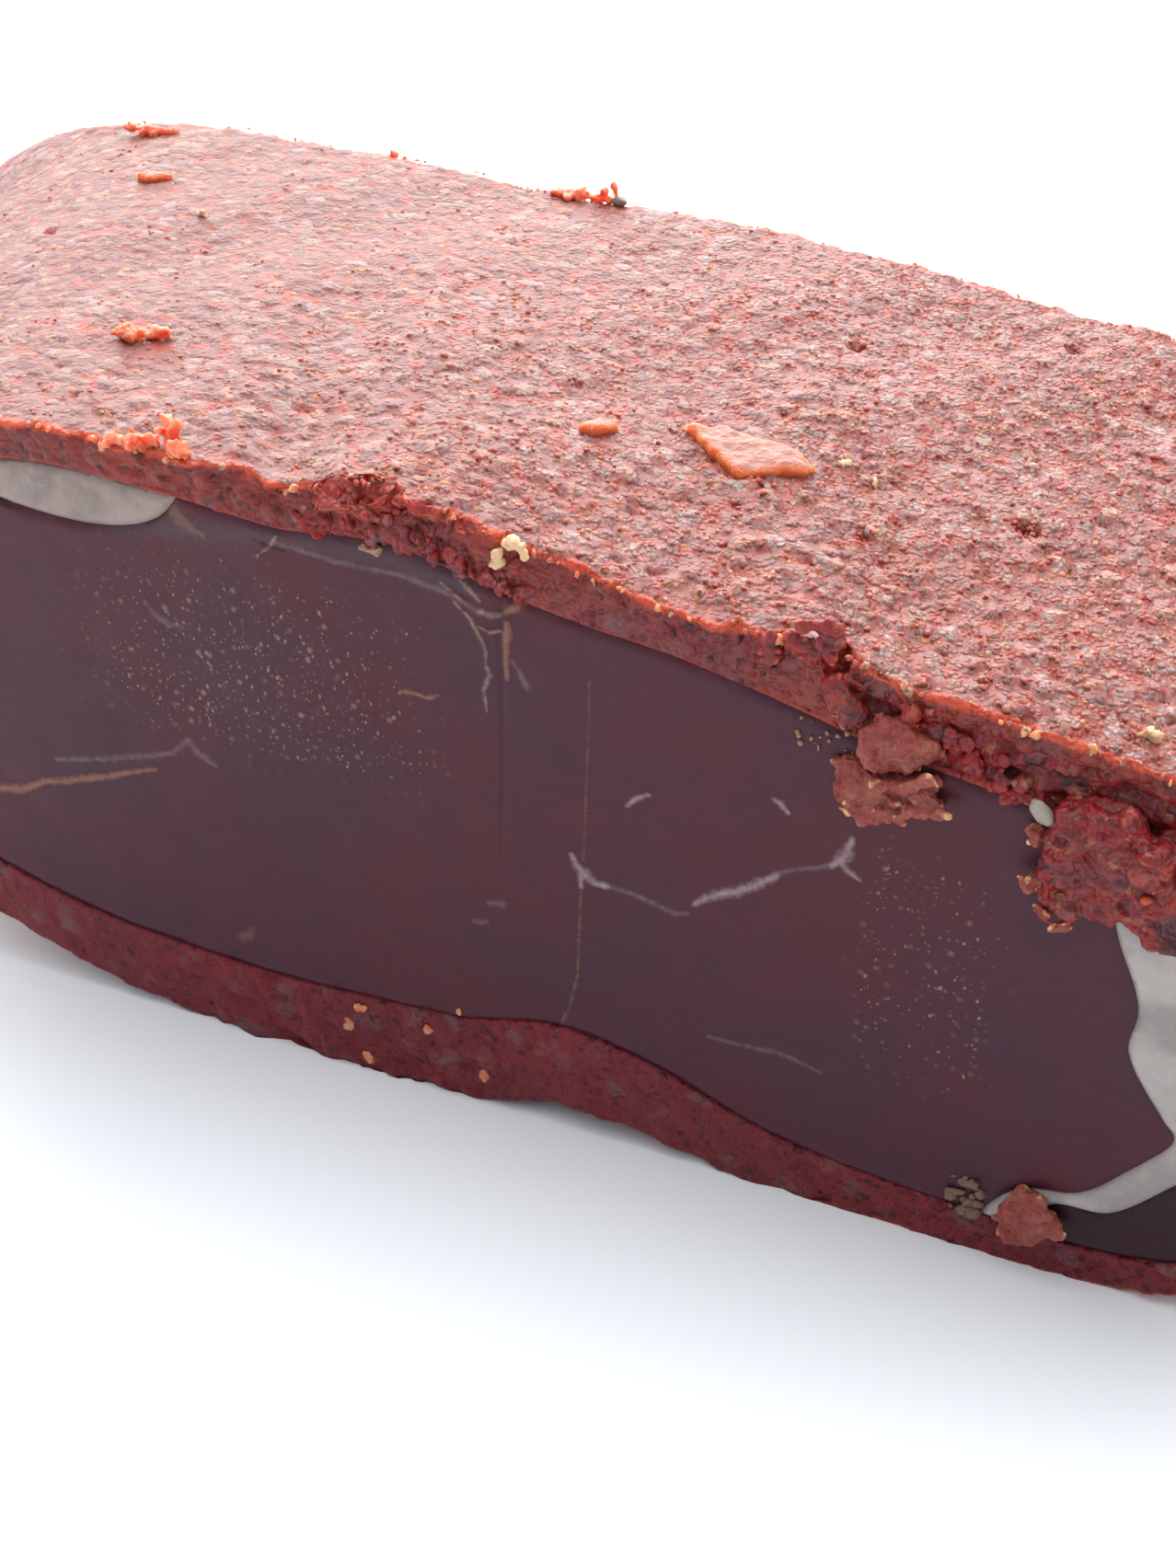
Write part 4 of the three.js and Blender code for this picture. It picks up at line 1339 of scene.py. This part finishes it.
def finish_named(name):
    """The finish of that name, made when it is first asked for."""
    if name in bpy.data.materials:
        return bpy.data.materials[name]
    if name in PLAIN:
        return plain_finish(name, *PLAIN[name])
    if name in CRUMBS:
        return crumb_finish(name, *CRUMBS[name])
    colours = bpy.context.scene.pastirma_colours
    lean, fat = tuple(colours.lean), tuple(colours.fat)
    makers = {
        "spice_paste": lambda: paste_finish(name, colours, 0.40, colours.paste_deep),
        "low_paste": lambda: paste_finish(name, colours, 0.22, LOW_PASTE_WET),
        "spice_grains": grain_finish,
        "husk": husk_finish,
        "lean_meat": lambda: lean_finish(name, lean),
        "side_meat": lambda: lean_finish(name, tuple(c * SIDE_MEAT_SHADE for c in lean)),
        "seam_fat": lambda: fat_finish(name, fat),
        "strip_fat": lambda: fat_finish(name, tuple(c * shade for c, shade in zip(fat, STRIP_SHADES))),
    }
    return makers[name]()


# ---- operators ----


class PASTIRMA_OT_coat(Operator):
    """Spice paste over and under the meat, with torn and broken edges"""

    bl_idname = "pastirma.coat"
    bl_label = "Spice paste"

    def execute(self, context):
        sizes = context.scene.pastirma_sizes
        fine = sizes.grid / MM
        upper = coat_shell("paste_top", 0.0, 0.5, sizes, fine, finish_named("spice_paste"))
        lower = coat_shell("paste_under", 0.5, 1.0, sizes, fine * 1.3, finish_named("low_paste"))
        for piece in (upper, lower):
            settle(piece, "cemen", "cemen_coating")
        return {"FINISHED"}


class PASTIRMA_OT_meat(Operator):
    """The two muscles with their veins, films and crack"""

    bl_idname = "pastirma.meat"
    bl_label = "Lean meat"

    def execute(self, context):
        finish = finish_named("lean_meat")
        settle(meat_body("meat_main", main_ring, 0.4, finish), "lean", "lean_main")
        side = meat_body("meat_side", side_ring, 0.4, finish_named("side_meat"), detailed=False)
        settle(side, "lean", "lean_side")
        return {"FINISHED"}


class PASTIRMA_OT_fat(Operator):
    """The seam of fat between the muscles and the strip of fat under the paste"""

    bl_idname = "pastirma.fat"
    bl_label = "Fat"

    def execute(self, context):
        seam = meat_body("seam_of_fat", seam_ring, 0.2, finish_named("seam_fat"), 0.14, False)
        settle(seam, "fat", "fat_seam")
        strip = meat_body("strip_of_fat", cap_ring, 0.2, finish_named("strip_fat"), 0.14, False)
        settle(strip, "fat", "fat_cap")
        return {"FINISHED"}


# Broken pieces on the front face: outlines of (x, height).
RIGHT_BLOCK = (
    (21.4, 25.7), (22.5, 26.2), (24.5, 26.3), (25.1, 25.2), (26.3, 24.8), (28.5, 24.5), (30.5, 23.6),
    (30.8, 21.4), (28.6, 20.3), (26.8, 20.2), (25.9, 20.3), (24.6, 21.0), (23.6, 21.0), (22.1, 20.5),
    (21.1, 21.3), (20.9, 22.8), (21.0, 24.4),
)
DISC = (
    (12.8, 27.1), (13.5, 27.6), (14.3, 27.85), (15.25, 27.6), (16.1, 27.2), (16.2, 26.5), (15.4, 25.75),
    (14.35, 25.4), (13.3, 25.5), (12.8, 26.2),
)
LEDGE = ((13.4, 25.0), (14.8, 25.4), (16.2, 26.15), (16.65, 26.0), (15.45, 25.2), (14.0, 24.8))
MASS = (
    (11.8, 25.3), (12.75, 25.6), (13.4, 25.15), (16.2, 25.4), (16.3, 24.45), (16.3, 23.8), (15.3, 23.3),
    (13.8, 22.7), (12.7, 22.7), (12.05, 23.5), (11.95, 24.5),
)
TONGUE = ((14.9, 24.1), (16.0, 24.5), (17.05, 24.2), (16.25, 23.8), (14.95, 23.5))
CHIP = (
    (21.3, 4.3), (21.9, 4.8), (22.8, 4.75), (24.2, 3.3), (23.2, 2.3), (22.4, 1.5), (21.4, 1.2),
    (20.9, 2.6),
)
TATTERS = (
    (14.2, 28.4), (15.4, 28.3), (16.4, 28.2), (17.1, 27.7), (18.6, 26.9), (19.8, 25.9), (20.3, 25.6),
    (19.7, 25.0), (18.8, 25.5), (17.5, 26.0), (16.5, 27.1), (15.5, 27.2), (14.4, 27.3),
)
CHIP_CRUMBS = ((18.1, 3.7), (19.0, 4.3), (20.1, 4.4), (20.3, 2.8), (20.4, 1.5), (19.6, 2.2), (18.2, 2.1))
LOBE = (
    (8.0, 29.8), (8.7, 30.6), (10.3, 31.2), (11.4, 31.3), (11.7, 30.6), (11.3, 29.6), (10.0, 29.2),
    (8.6, 29.2),
)
FLAP = ((10.9, 28.9), (11.8, 29.2), (12.5, 28.3), (13.0, 27.6), (12.6, 26.9), (11.7, 27.5))
GOLDEN_GRAINS = (
    (10.0, 26.4), (10.6, 26.0), (11.0, 25.6), (11.6, 25.7), (12.0, 26.4), (12.1, 27.0), (11.8, 27.6),
)
OLIVE_CRUMB = ((-10.3, 30.2), (-9.9, 30.75), (-9.4, 30.6), (-9.5, 30.15), (-9.9, 30.0))
HUSKS = ((20.6, 23.9), (21.6, 23.8), (21.9, 21.4), (22.2, 20.2), (21.2, 20.6), (20.6, 21.8))


def heap(outline, out, count, size, seed, flat=0.7):
    """Lumps scattered within an outline on the front face."""
    random = np.random.default_rng(seed)
    ring = np.array(outline)
    parts = []
    while len(parts) < count:
        place = random.uniform(ring.min(0), ring.max(0))
        if not inside(place[None], ring)[0]:
            continue
        edge = edge_distance(place[None], ring)[0]
        half = random.uniform(*size) * np.array([random.uniform(1, 1.7), flat, random.uniform(0.6, 1.1)])
        depth = FRONT_Y - out * random.uniform(0.1, 1) * min(1, 0.35 + edge)
        tilt = random.uniform(-35, 35, 3)
        parts.append(lump((place[0], depth, place[1]), half, tilt, seed + len(parts), 3, 0.5))
    return parts


def wobbly(outline, amount, size, seeds):
    """A closed outline with evenly spaced points that are shifted about a little."""
    ring = even(np.vstack([outline, outline[:1]]), 90)[:-1]
    spots = np.c_[ring, ring[:, 0]]
    return ring + amount * np.stack([drift(spots, size, seed) for seed in seeds], axis=1)


def plate(outline, out_back, out_front, tip=0.0):
    """A flat leaf between two depths beside the front face, its right end tipped forwards."""
    y_back, y_front = FRONT_Y + out_back, FRONT_Y + out_front
    ring = wobbly(outline, 0.16, 0.6, (86, 87))
    places, triangles = filled(ring, 0.2)
    lean = tip * (places[:, 0] - places[:, 0].min()) / np.ptp(places[:, 0])
    lean += 0.3 * drift(np.c_[places, places[:, 0]], 1.2, 83)
    thin = 0.3 * (y_back - y_front) * np.exp(-edge_distance(places, ring) / 0.15)
    front = np.stack([places[:, 0], y_front - lean + thin, places[:, 1]], axis=1)
    back = np.stack([places[:, 0], y_back - lean - thin, places[:, 1]], axis=1)
    i = np.arange(len(ring))
    j = (i + 1) % len(ring)
    n = len(places)
    walls = np.vstack([np.stack([i, j, j + n], axis=1), np.stack([i, j + n, i + n], axis=1)])
    return np.vstack([front, back]), np.vstack([triangles, triangles[:, ::-1] + n, walls])


def torn_lump(i, random):
    """A crumb in the torn place of the upper edge, further back where it sits higher."""
    q = random.uniform(-14.4, -2.6)
    low = random.uniform(0, 1)
    place = section(np.array(turn_at(q)), 0.0, 0.25 + 0.7 * low)
    back = random.uniform(0.0, 1.1) * (1 - low) - 0.05
    half = random.uniform(0.14, 0.36) * np.array([1.3, 0.6, 0.9]) * random.uniform(0.7, 1.3, 3)
    return lump(place + np.array([0, back, 0]), half, random.uniform(0, 180, 3), 40 + i, 2, 0.8)


def husk_lump(i, random):
    """A loose skin at the left edge of the big broken chunk."""
    ring = np.array(HUSKS)
    x, z = ring[i % len(ring)] + random.uniform(-0.2, 0.2, 2)
    half = random.uniform(0.25, 0.5) * np.array([1.0, 0.3, 0.8])
    out = random.uniform(0.4, 1.1)
    return lump((x, FRONT_Y - out, z), half, random.uniform(-50, 50, 3), i, 3, 0.5)


def golden_lump(i, x, z, random):
    """A fine golden grain beside the hanging flap."""
    shift = random.normal(size=2) * 0.28
    size = random.uniform(0.035, 0.10) * random.uniform(0.8, 1.3, 3)
    return lump((x + shift[0], FRONT_Y - 0.07, z + shift[1]), size, (0, 30 * i, 0), 850 + i, 2, 0.5)


def grow(name, parts, voxel, finish, look, *nodes):
    """A fused piece in its place; look is its relief, how strongly orange glow is painted on its ridges, and
    how broken it is.
    """
    sizes = bpy.context.scene.pastirma_sizes
    settle(fused(name, parts, voxel, finish_named(finish), sizes, *look), "cemen", *nodes)


class PASTIRMA_OT_chunks(Operator):
    """Broken paste that sticks to the cut face"""

    bl_idname = "pastirma.chunks"
    bl_label = "Broken chunks"

    def execute(self, context):
        right = [plate(RIGHT_BLOCK, 0.3, -1.25, 0.1)] + heap(RIGHT_BLOCK, 1.25, 34, (0.2, 0.45), 500)
        grow("chunk_right", right, 0.09, "spice_paste", (0.8, 0.8, 1.1), "cemen_chunk")
        hanging = [plate(FLAP, 0.2, -0.6, 0.2)] + heap(FLAP, 0.5, 7, (0.2, 0.4), 640)
        hanging += heap(LOBE, 0.25, 26, (0.2, 0.42), 660)
        grow("chunk_hanging", hanging, 0.08, "spice_paste", (0.5, 1.0), "cemen_coating")
        chip = heap(CHIP, 0.6, 8, (0.2, 0.4), 680) + [plate(CHIP, -0.1, -0.6, 0.2)]
        grow("chip_low", chip, 0.07, "husk", (0.4,), "cemen_coating")
        tatters = heap(TATTERS, 0.25, 44, (0.12, 0.34), 700, 0.8)
        grow("tatters", tatters, 0.07, "spice_paste", (0.6, 0.5), "cemen_coating")
        random = np.random.default_rng(31)
        torn = [torn_lump(i, random) for i in range(170)]
        grow("torn_crumbs", torn, 0.07, "spice_paste", (0.6, 0.35), "cemen_coating")
        dull = heap(CHIP_CRUMBS, 0.3, 26, (0.1, 0.26), 790, 0.6)
        grow("dull_crumbs", dull, 0.07, "dull_crumb", (0.4,))
        leaves = [plate(LEDGE, -0.7, -1.2, 0.5), plate(TONGUE, -0.5, -1.0, 0.3)]
        leaves += [plate(MASS, 0.0, -0.75), plate(DISC, 0.0, -1.1, -0.3)]
        leaves += heap(MASS, 1.1, 40, (0.18, 0.42), 760, 0.6) + heap(DISC, 0.9, 9, (0.2, 0.45), 620)
        leaves += [husk_lump(i, random) for i in range(18)]
        grow("husks", leaves, 0.07, "husk", (0.4,), "cemen_coating")
        golden = heap(OLIVE_CRUMB, 0.3, 8, (0.12, 0.26), 880, 0.7)
        golden += [golden_lump(i, x, z, random) for i, (x, z) in enumerate(even(GOLDEN_GRAINS, 34))]
        grow("golden_grains", golden, 0.06, "golden_grain", (0.3, 0.0, 0.4))
        grains = [lump((20.75, FRONT_Y - 0.8, 25.3), (0.42, 0.36, 0.74), (0, -38, 0), 3, 3, 0.2)]
        settle(make("seed_pale", *as_piece(grains), finish_named("seed")), "cemen")
        return {"FINISHED"}


def spread(centres, halves, random):
    """Many small uneven grains at once, with a number from 0 to 1 for each grain's colour."""
    corners, faces = ball(1)
    count = len(centres)
    axes = np.linalg.qr(random.normal(size=(count, 3, 3)))[0]
    axes[:, 0] *= np.sign(np.linalg.det(axes))[:, None]
    uneven = corners[None] * random.uniform(0.75, 1.25, (count, len(corners), 1)) * halves[:, None, :]
    points = np.einsum("nij,nkj->nki", axes, uneven) + centres[:, None, :]
    triangles = faces[None] + (np.arange(count) * len(corners))[:, None, None]
    return points.reshape(-1, 3), triangles.reshape(-1, 3), np.repeat(random.random(count), len(corners))


def grains(sizes, random):
    """Loose grains all over the top."""
    q = random.uniform(FRONT_ENDS[0] + 1.5, FRONT_ENDS[1] - 1, sizes.grains * 4)
    s = random.uniform(0.0, 1.0, len(q))
    centres = section(turn_at(q), s, 0.0)
    sparse = 0.9 - 1.5 * soft_step(centres[:, 0] - 0.9 * centres[:, 1], -55, 40)
    patchy = drift(centres, 1.6, 91) + 0.5 * drift(centres, 0.6, 92)
    kept = patchy > random.uniform(-0.6, 0.6, len(q)) + sparse
    centres = centres[kept][: sizes.grains]
    halves = random.uniform(0.07, 0.19, len(centres))[:, None] * random.uniform(0.7, 1.3, (len(centres), 3))
    height, _, _ = paste_relief(centres, sizes)
    centres[:, 2] += height - 0.45 * halves.mean(axis=1)
    return spread(centres, halves, random)


def as_piece(parts):
    points, triangles = joined(parts)
    return points, [triangles]


# Flakes on top: outlines of (x, y), thickness.
FLAKES = (
    (((-1.2, -4.7), (0.7, -6.6), (2.6, -8.0), (5.4, -6.6), (5.7, -5.9), (4.1, -4.9), (2.2, -4.9),
      (0.7, -4.3)), 0.5),
    (((-5.3, -8.0), (-4.5, -8.3), (-3.7, -7.0), (-3.9, -6.5), (-4.8, -6.8)), 0.45),
    (((-40.9, 10.2), (-40.0, 9.9), (-39.0, 10.6), (-39.1, 11.0), (-40.2, 10.9)), 0.4),
)
# Crumbs on top: (x, y, half sizes, turn, number of grains in it, kind of finish).
LOOSE = (
    (-28.6, -9.7, 1.0, 0.5, 0.45, 20, 9, "orange_crumb"),
    (-27.4, -9.0, 0.8, 0.4, 0.35, 35, 7, "orange_crumb"),
    (-21.7, -19.5, 1.0, 0.55, 0.5, 10, 12, "orange_crumb"),
    (-20.2, -19.0, 0.75, 0.6, 0.95, 0, 12, "orange_crumb"),
    (-19.5, -19.8, 0.7, 0.5, 0.7, -20, 9, "orange_crumb"),
    (-22.9, -19.7, 0.5, 0.4, 0.35, 0, 5, "orange_crumb"),
    (-20.4, -18.2, 0.4, 0.25, 0.3, 0, 4, "pale_crumb"), (-34.2, 6.3, 0.4, 0.25, 0.2, 0, 4, "pale_crumb"),
    (6.4, -4.3, 0.45, 0.22, 0.25, 40, 5, "pale_crumb"), (8.2, -4.9, 0.2, 0.3, 0.25, 0, 3, "pale_crumb"),
    (24.0, -17.7, 0.5, 0.35, 0.3, 0, 6, "pale_crumb"),
    (-17.6, 19.4, 1.9, 0.4, 0.35, 3, 12, "orange_crumb"),
    (-16.0, 19.4, 0.6, 0.35, 0.5, 0, 6, "orange_crumb"),
    (-15.2, 19.4, 0.2, 0.15, 0.9, 20, 5, "orange_crumb"),
    (-44.6, 17.6, 2.3, 0.5, 0.35, 8, 14, "orange_crumb"),
)

# The pale knob on the upper front edge: (across, how far out, height, half sizes, grains, seed).
PALE_KNOB = (
    (-3.7, 0.3, 31.3, (0.3, 0.26, 0.52), 14, 900), (-2.9, 0.2, 32.0, (0.52, 0.26, 0.24), 14, 940),
    (-2.4, 0.3, 31.7, (0.2, 0.22, 0.26), 6, 970),
)
# Crumbs on the cut of the lower paste, as (across, height, half size).
LOW_CRUMBS = (
    (-12.0, 3.9, 0.34), (-12.8, 2.6, 0.36), (-11.7, 0.9, 0.4), (-5.1, 1.8, 0.38), (-6.4, 5.5, 0.2),
    (-8.2, 3.8, 0.28),
)


def cluster(centre, halves, degrees, count, seed):
    """Small uneven grains that stick together in a crumb."""
    random = np.random.default_rng(seed)
    halves = np.asarray(halves)
    parts = [lump(centre, halves * 0.62, (0, 0, degrees), seed, 3, 0.5)]
    for i in range(count):
        place = random.normal(size=3)
        place *= 0.75 / np.linalg.norm(place)
        place = turned((place * halves)[None], (0, 0, degrees))[0] + centre
        size = random.uniform(0.3, 0.55) * min(halves.mean(), 0.5) * random.uniform(0.8, 1.4, 3)
        parts.append(lump(place, size, random.uniform(0, 180, 3), seed + i, 2, 0.6))
    return parts


def on_top(outline, thickness, seed):
    """A flake lying on the paste, with its nearness to its own edge."""
    ring = wobbly(outline, 0.1, 0.5, (seed, seed + 1))
    places, triangles = filled(ring, 0.14)
    edge = edge_distance(places, ring)
    spots = np.c_[places, np.zeros(len(places))]
    ground = top_at(places[:, 0], places[:, 1])
    rise = thickness * (1 - 0.4 * np.exp(-edge / 0.12)) + 0.12 * drift(spots, 0.9, seed)
    rise += 0.07 * drift(spots, 0.35, seed)
    upper = np.c_[places, ground + 0.1 + rise]
    lower = np.c_[places, ground - 0.1]
    i = np.arange(len(ring))
    j = (i + 1) % len(ring)
    n = len(places)
    walls = np.vstack([np.stack([j, i, j + n], axis=1), np.stack([j + n, i, i + n], axis=1)])
    leaf = np.vstack([upper, lower]), np.vstack([triangles, triangles[:, ::-1] + n, walls])
    return leaf, np.r_[edge, edge * 0]


def edge_lumps(count, random):
    """Crumbs along the upper edges of the paste, but not where it is torn, and on its lower cut."""
    parts = []
    for i in range(count):
        back = i % 3 == 0
        q = random.uniform(-44 if back else -38, 34)
        if not back and any(abs(q - torn[0]) < torn[1] for torn in TORN):
            continue
        centre = section(turn_at(q), 1.0 if back else 0.0, 0.0)
        centre = centre + np.array([0, random.uniform(-0.1, 0.2), random.uniform(-0.3, 0.05)])
        half = random.uniform(0.06, 0.2) * random.uniform(0.6, 1.5, 3)
        parts.append(lump(centre, half, random.uniform(0, 180, 3), i, 2, 0.8))
    for i, (x, z, size) in enumerate(LOW_CRUMBS):
        half = size * np.array([1.0, 0.6, 0.8])
        parts.append(lump((x, FRONT_Y - 0.1, z), half, (0, 30 * i, 0), 60 + i, 3, 0.5))
    return parts


def speck_lumps(count, random):
    """Specks on the face of the meat, in clumps where it is dusty."""
    parts = []
    while len(parts) < count:
        x, z = random.uniform(-26, 24), random.uniform(9, 28)
        clump = drift(np.array([[x, 0.0, z]]), 0.8, 95)[0]
        if dusty(np.array([x]), np.array([z]))[0] * (0.95 + 0.3 * clump) < random.uniform(0.2, 1.25):
            continue
        size = 0.022 + 0.085 * random.random() ** 4 + 0.018 * random.random()
        half = size * np.array([random.uniform(0.7, 1.2), 0.3, random.uniform(0.9, 1.9)])
        depth = FRONT_Y - 0.005 + face_hollow(np.array([[x, z]]))[0]
        parts.append(lump((x, depth, z), half, (0, random.uniform(-30, 30), 0), len(parts), 1))
    return parts


class PASTIRMA_OT_crumbs(Operator):
    """Flakes and crumbs on the paste and specks on the cut face"""

    bl_idname = "pastirma.crumbs"
    bl_label = "Crumbs"

    def execute(self, context):
        sizes = context.scene.pastirma_sizes
        random = np.random.default_rng(5)
        flakes = [on_top(outline, thickness, 300 + 5 * i) for i, (outline, thickness) in enumerate(FLAKES)]
        points, triangles = joined([flake for flake, _ in flakes])
        # Painted glow: orange is marked near each flake's edge.
        rim = np.exp(-np.concatenate([edge for _, edge in flakes]) / 0.3)
        piece = make("flakes_top", points, [triangles], finish_named("salmon_flake"), {"rim": rim})
        settle(piece, "cemen", "cemen_coating")

        kinds = {"orange_crumb": [], "pale_crumb": []}
        for i, (x, y, half_x, half_y, half_z, turn, count, kind) in enumerate(LOOSE):
            centre = np.array([x, y, top_at(x, y) + half_z * 0.7])
            kinds[kind] += cluster(centre, (half_x, half_y, half_z), turn, count, 800 + 20 * i)
        for x, out, z, halves, count, seed in PALE_KNOB:
            kinds["pale_crumb"] += cluster(np.array([x, FRONT_Y - out, z]), halves, 0, count, seed)
        for kind, parts in kinds.items():
            grow("loose_" + kind, parts, 0.07, kind, (0.3, 0.0, 0.7))
        lost = lump((-14.9, 19.3, top_at(-14.9, 19.3) + 0.3), (0.55, 0.3, 0.4), (0, 0, 0), 44, 3, 0.3)
        settle(make("loose_seed", *as_piece([lost]), finish_named("seed")), "cemen")

        edging = as_piece(edge_lumps(sizes.crumbs, random))
        settle(make("edge_crumbs", *edging, finish_named("orange_crumb")), "cemen")
        points, triangles, pick = grains(sizes, random)
        piece = make("grains_top", points, [triangles], finish_named("spice_grains"), {"pick": pick})
        settle(piece, "cemen")
        specks = as_piece(speck_lumps(sizes.specks, random))
        settle(make("specks_face", *specks, finish_named("pale_speck")), "cemen")
        return {"FINISHED"}


TABLE_HALF = 1.6  # metres


class PASTIRMA_OT_stage(Operator):
    """Pale table, soft light from a window behind the chunk, and the camera"""

    bl_idname = "pastirma.stage"
    bl_label = "Studio"

    def execute(self, context):
        scene = context.scene
        settings = scene.pastirma_studio
        table = Finish("table_white", {"Roughness": 0.5, "Specular IOR Level": 0.3})
        table.surface(Base_Color=table.mix(table.noise(0.05), (0.90, 0.92, 0.94), (0.93, 0.95, 0.96)))
        mesh = bpy.data.meshes.new("table")
        corners = [(x * TABLE_HALF, y * TABLE_HALF, 0) for x, y in ((-1, -1), (1, -1), (1, 1), (-1, 1))]
        mesh.from_pydata(corners, [], [(0, 1, 2, 3)])
        mesh.materials.append(table.material)
        floor = bpy.data.objects.new("table", mesh)
        scene.collection.objects.link(floor)

        target = (0.0, 0.0, 0.02)
        for name, place, width, height, power, colour in (
            ("window", (-0.36, 0.62, 0.33), 1.0, 0.5, settings.window, (1.0, 0.99, 0.97)),
            ("ceiling", (0.0, 0.35, 0.80), 1.2, 1.0, settings.ceiling, (0.95, 0.98, 1.0)),
        ):
            self.area(scene, name, place, target, width, height, power, colour)
        scene.world = self.room(settings.room)
        scene.view_settings.view_transform = "Standard"

        data = bpy.data.cameras.new("camera")
        data.sensor_width = 36.0
        data.lens = settings.focal_length
        data.clip_start = 0.005
        camera = bpy.data.objects.new("camera", data)
        camera.location = settings.camera_place
        camera.rotation_euler = (math.pi / 2 - settings.camera_down, 0, settings.camera_turn)
        scene.collection.objects.link(camera)
        bpy.context.scene.camera = camera
        return {"FINISHED"}

    @staticmethod
    def room(strength):
        """Light from all around, brighter from the window's side."""
        world = bpy.data.worlds.new("room")
        world.use_nodes = True
        nodes = Nodes(world.node_tree)
        direction = nodes.node("ShaderNodeTexCoord", output="Generated")
        toward = {0: direction, 1: (-0.30, 0.80, 0.52)}
        nearer = nodes.node("ShaderNodeVectorMath", {"operation": "DOT_PRODUCT"}, toward, "Value")
        shade = nodes.mix(nodes.step(nearer, -0.7, 0.7), (0.34, 0.38, 0.43), (1.35, 1.38, 1.42))
        background = world.node_tree.nodes["Background"]
        feed(world.node_tree, background.inputs["Color"], shade)
        background.inputs["Strength"].default_value = strength
        return world

    @staticmethod
    def area(scene, name, place, target, width, height, power, colour):
        data = bpy.data.lights.new(name, "AREA")
        data.shape = "RECTANGLE"
        data.size = width
        data.size_y = height
        data.energy = power
        data.color = colour
        light = bpy.data.objects.new(name, data)
        light.location = place
        light.rotation_euler = (Vector(target) - Vector(place)).to_track_quat("-Z", "Y").to_euler()
        scene.collection.objects.link(light)


class PASTIRMA_PT_panel(Panel):
    """Builds the chunk piece by piece"""

    bl_idname = "PASTIRMA_PT_panel"
    bl_label = "Pastirma chunk"
    bl_space_type = "VIEW_3D"
    bl_region_type = "UI"
    bl_category = "Pastirma"

    def draw(self, context):
        layout = self.layout
        scene = context.scene
        for group in (scene.pastirma_sizes, scene.pastirma_colours, scene.pastirma_studio):
            box = layout.box()
            for label in group.__annotations__:
                box.prop(group, label)
        for operator in OPERATORS:
            layout.operator(operator.bl_idname)


GROUPS = (SlabSizes, FoodColours, StudioSettings)
OPERATORS = (PASTIRMA_OT_coat, PASTIRMA_OT_meat, PASTIRMA_OT_fat, PASTIRMA_OT_chunks, PASTIRMA_OT_crumbs,
             PASTIRMA_OT_stage)
CLASSES = GROUPS + OPERATORS + (PASTIRMA_PT_panel,)


def register():
    for cls in CLASSES:
        bpy.utils.register_class(cls)
    bpy.types.Scene.pastirma_sizes = PointerProperty(type=SlabSizes)
    bpy.types.Scene.pastirma_colours = PointerProperty(type=FoodColours)
    bpy.types.Scene.pastirma_studio = PointerProperty(type=StudioSettings)


def unregister():
    del bpy.types.Scene.pastirma_sizes
    del bpy.types.Scene.pastirma_colours
    del bpy.types.Scene.pastirma_studio
    for cls in reversed(CLASSES):
        bpy.utils.unregister_class(cls)


def main():
    register()
    bpy.ops.pastirma.coat()
    bpy.ops.pastirma.meat()
    bpy.ops.pastirma.fat()
    bpy.ops.pastirma.chunks()
    bpy.ops.pastirma.crumbs()
    bpy.ops.pastirma.stage()


if __name__ == "__main__":
    main()
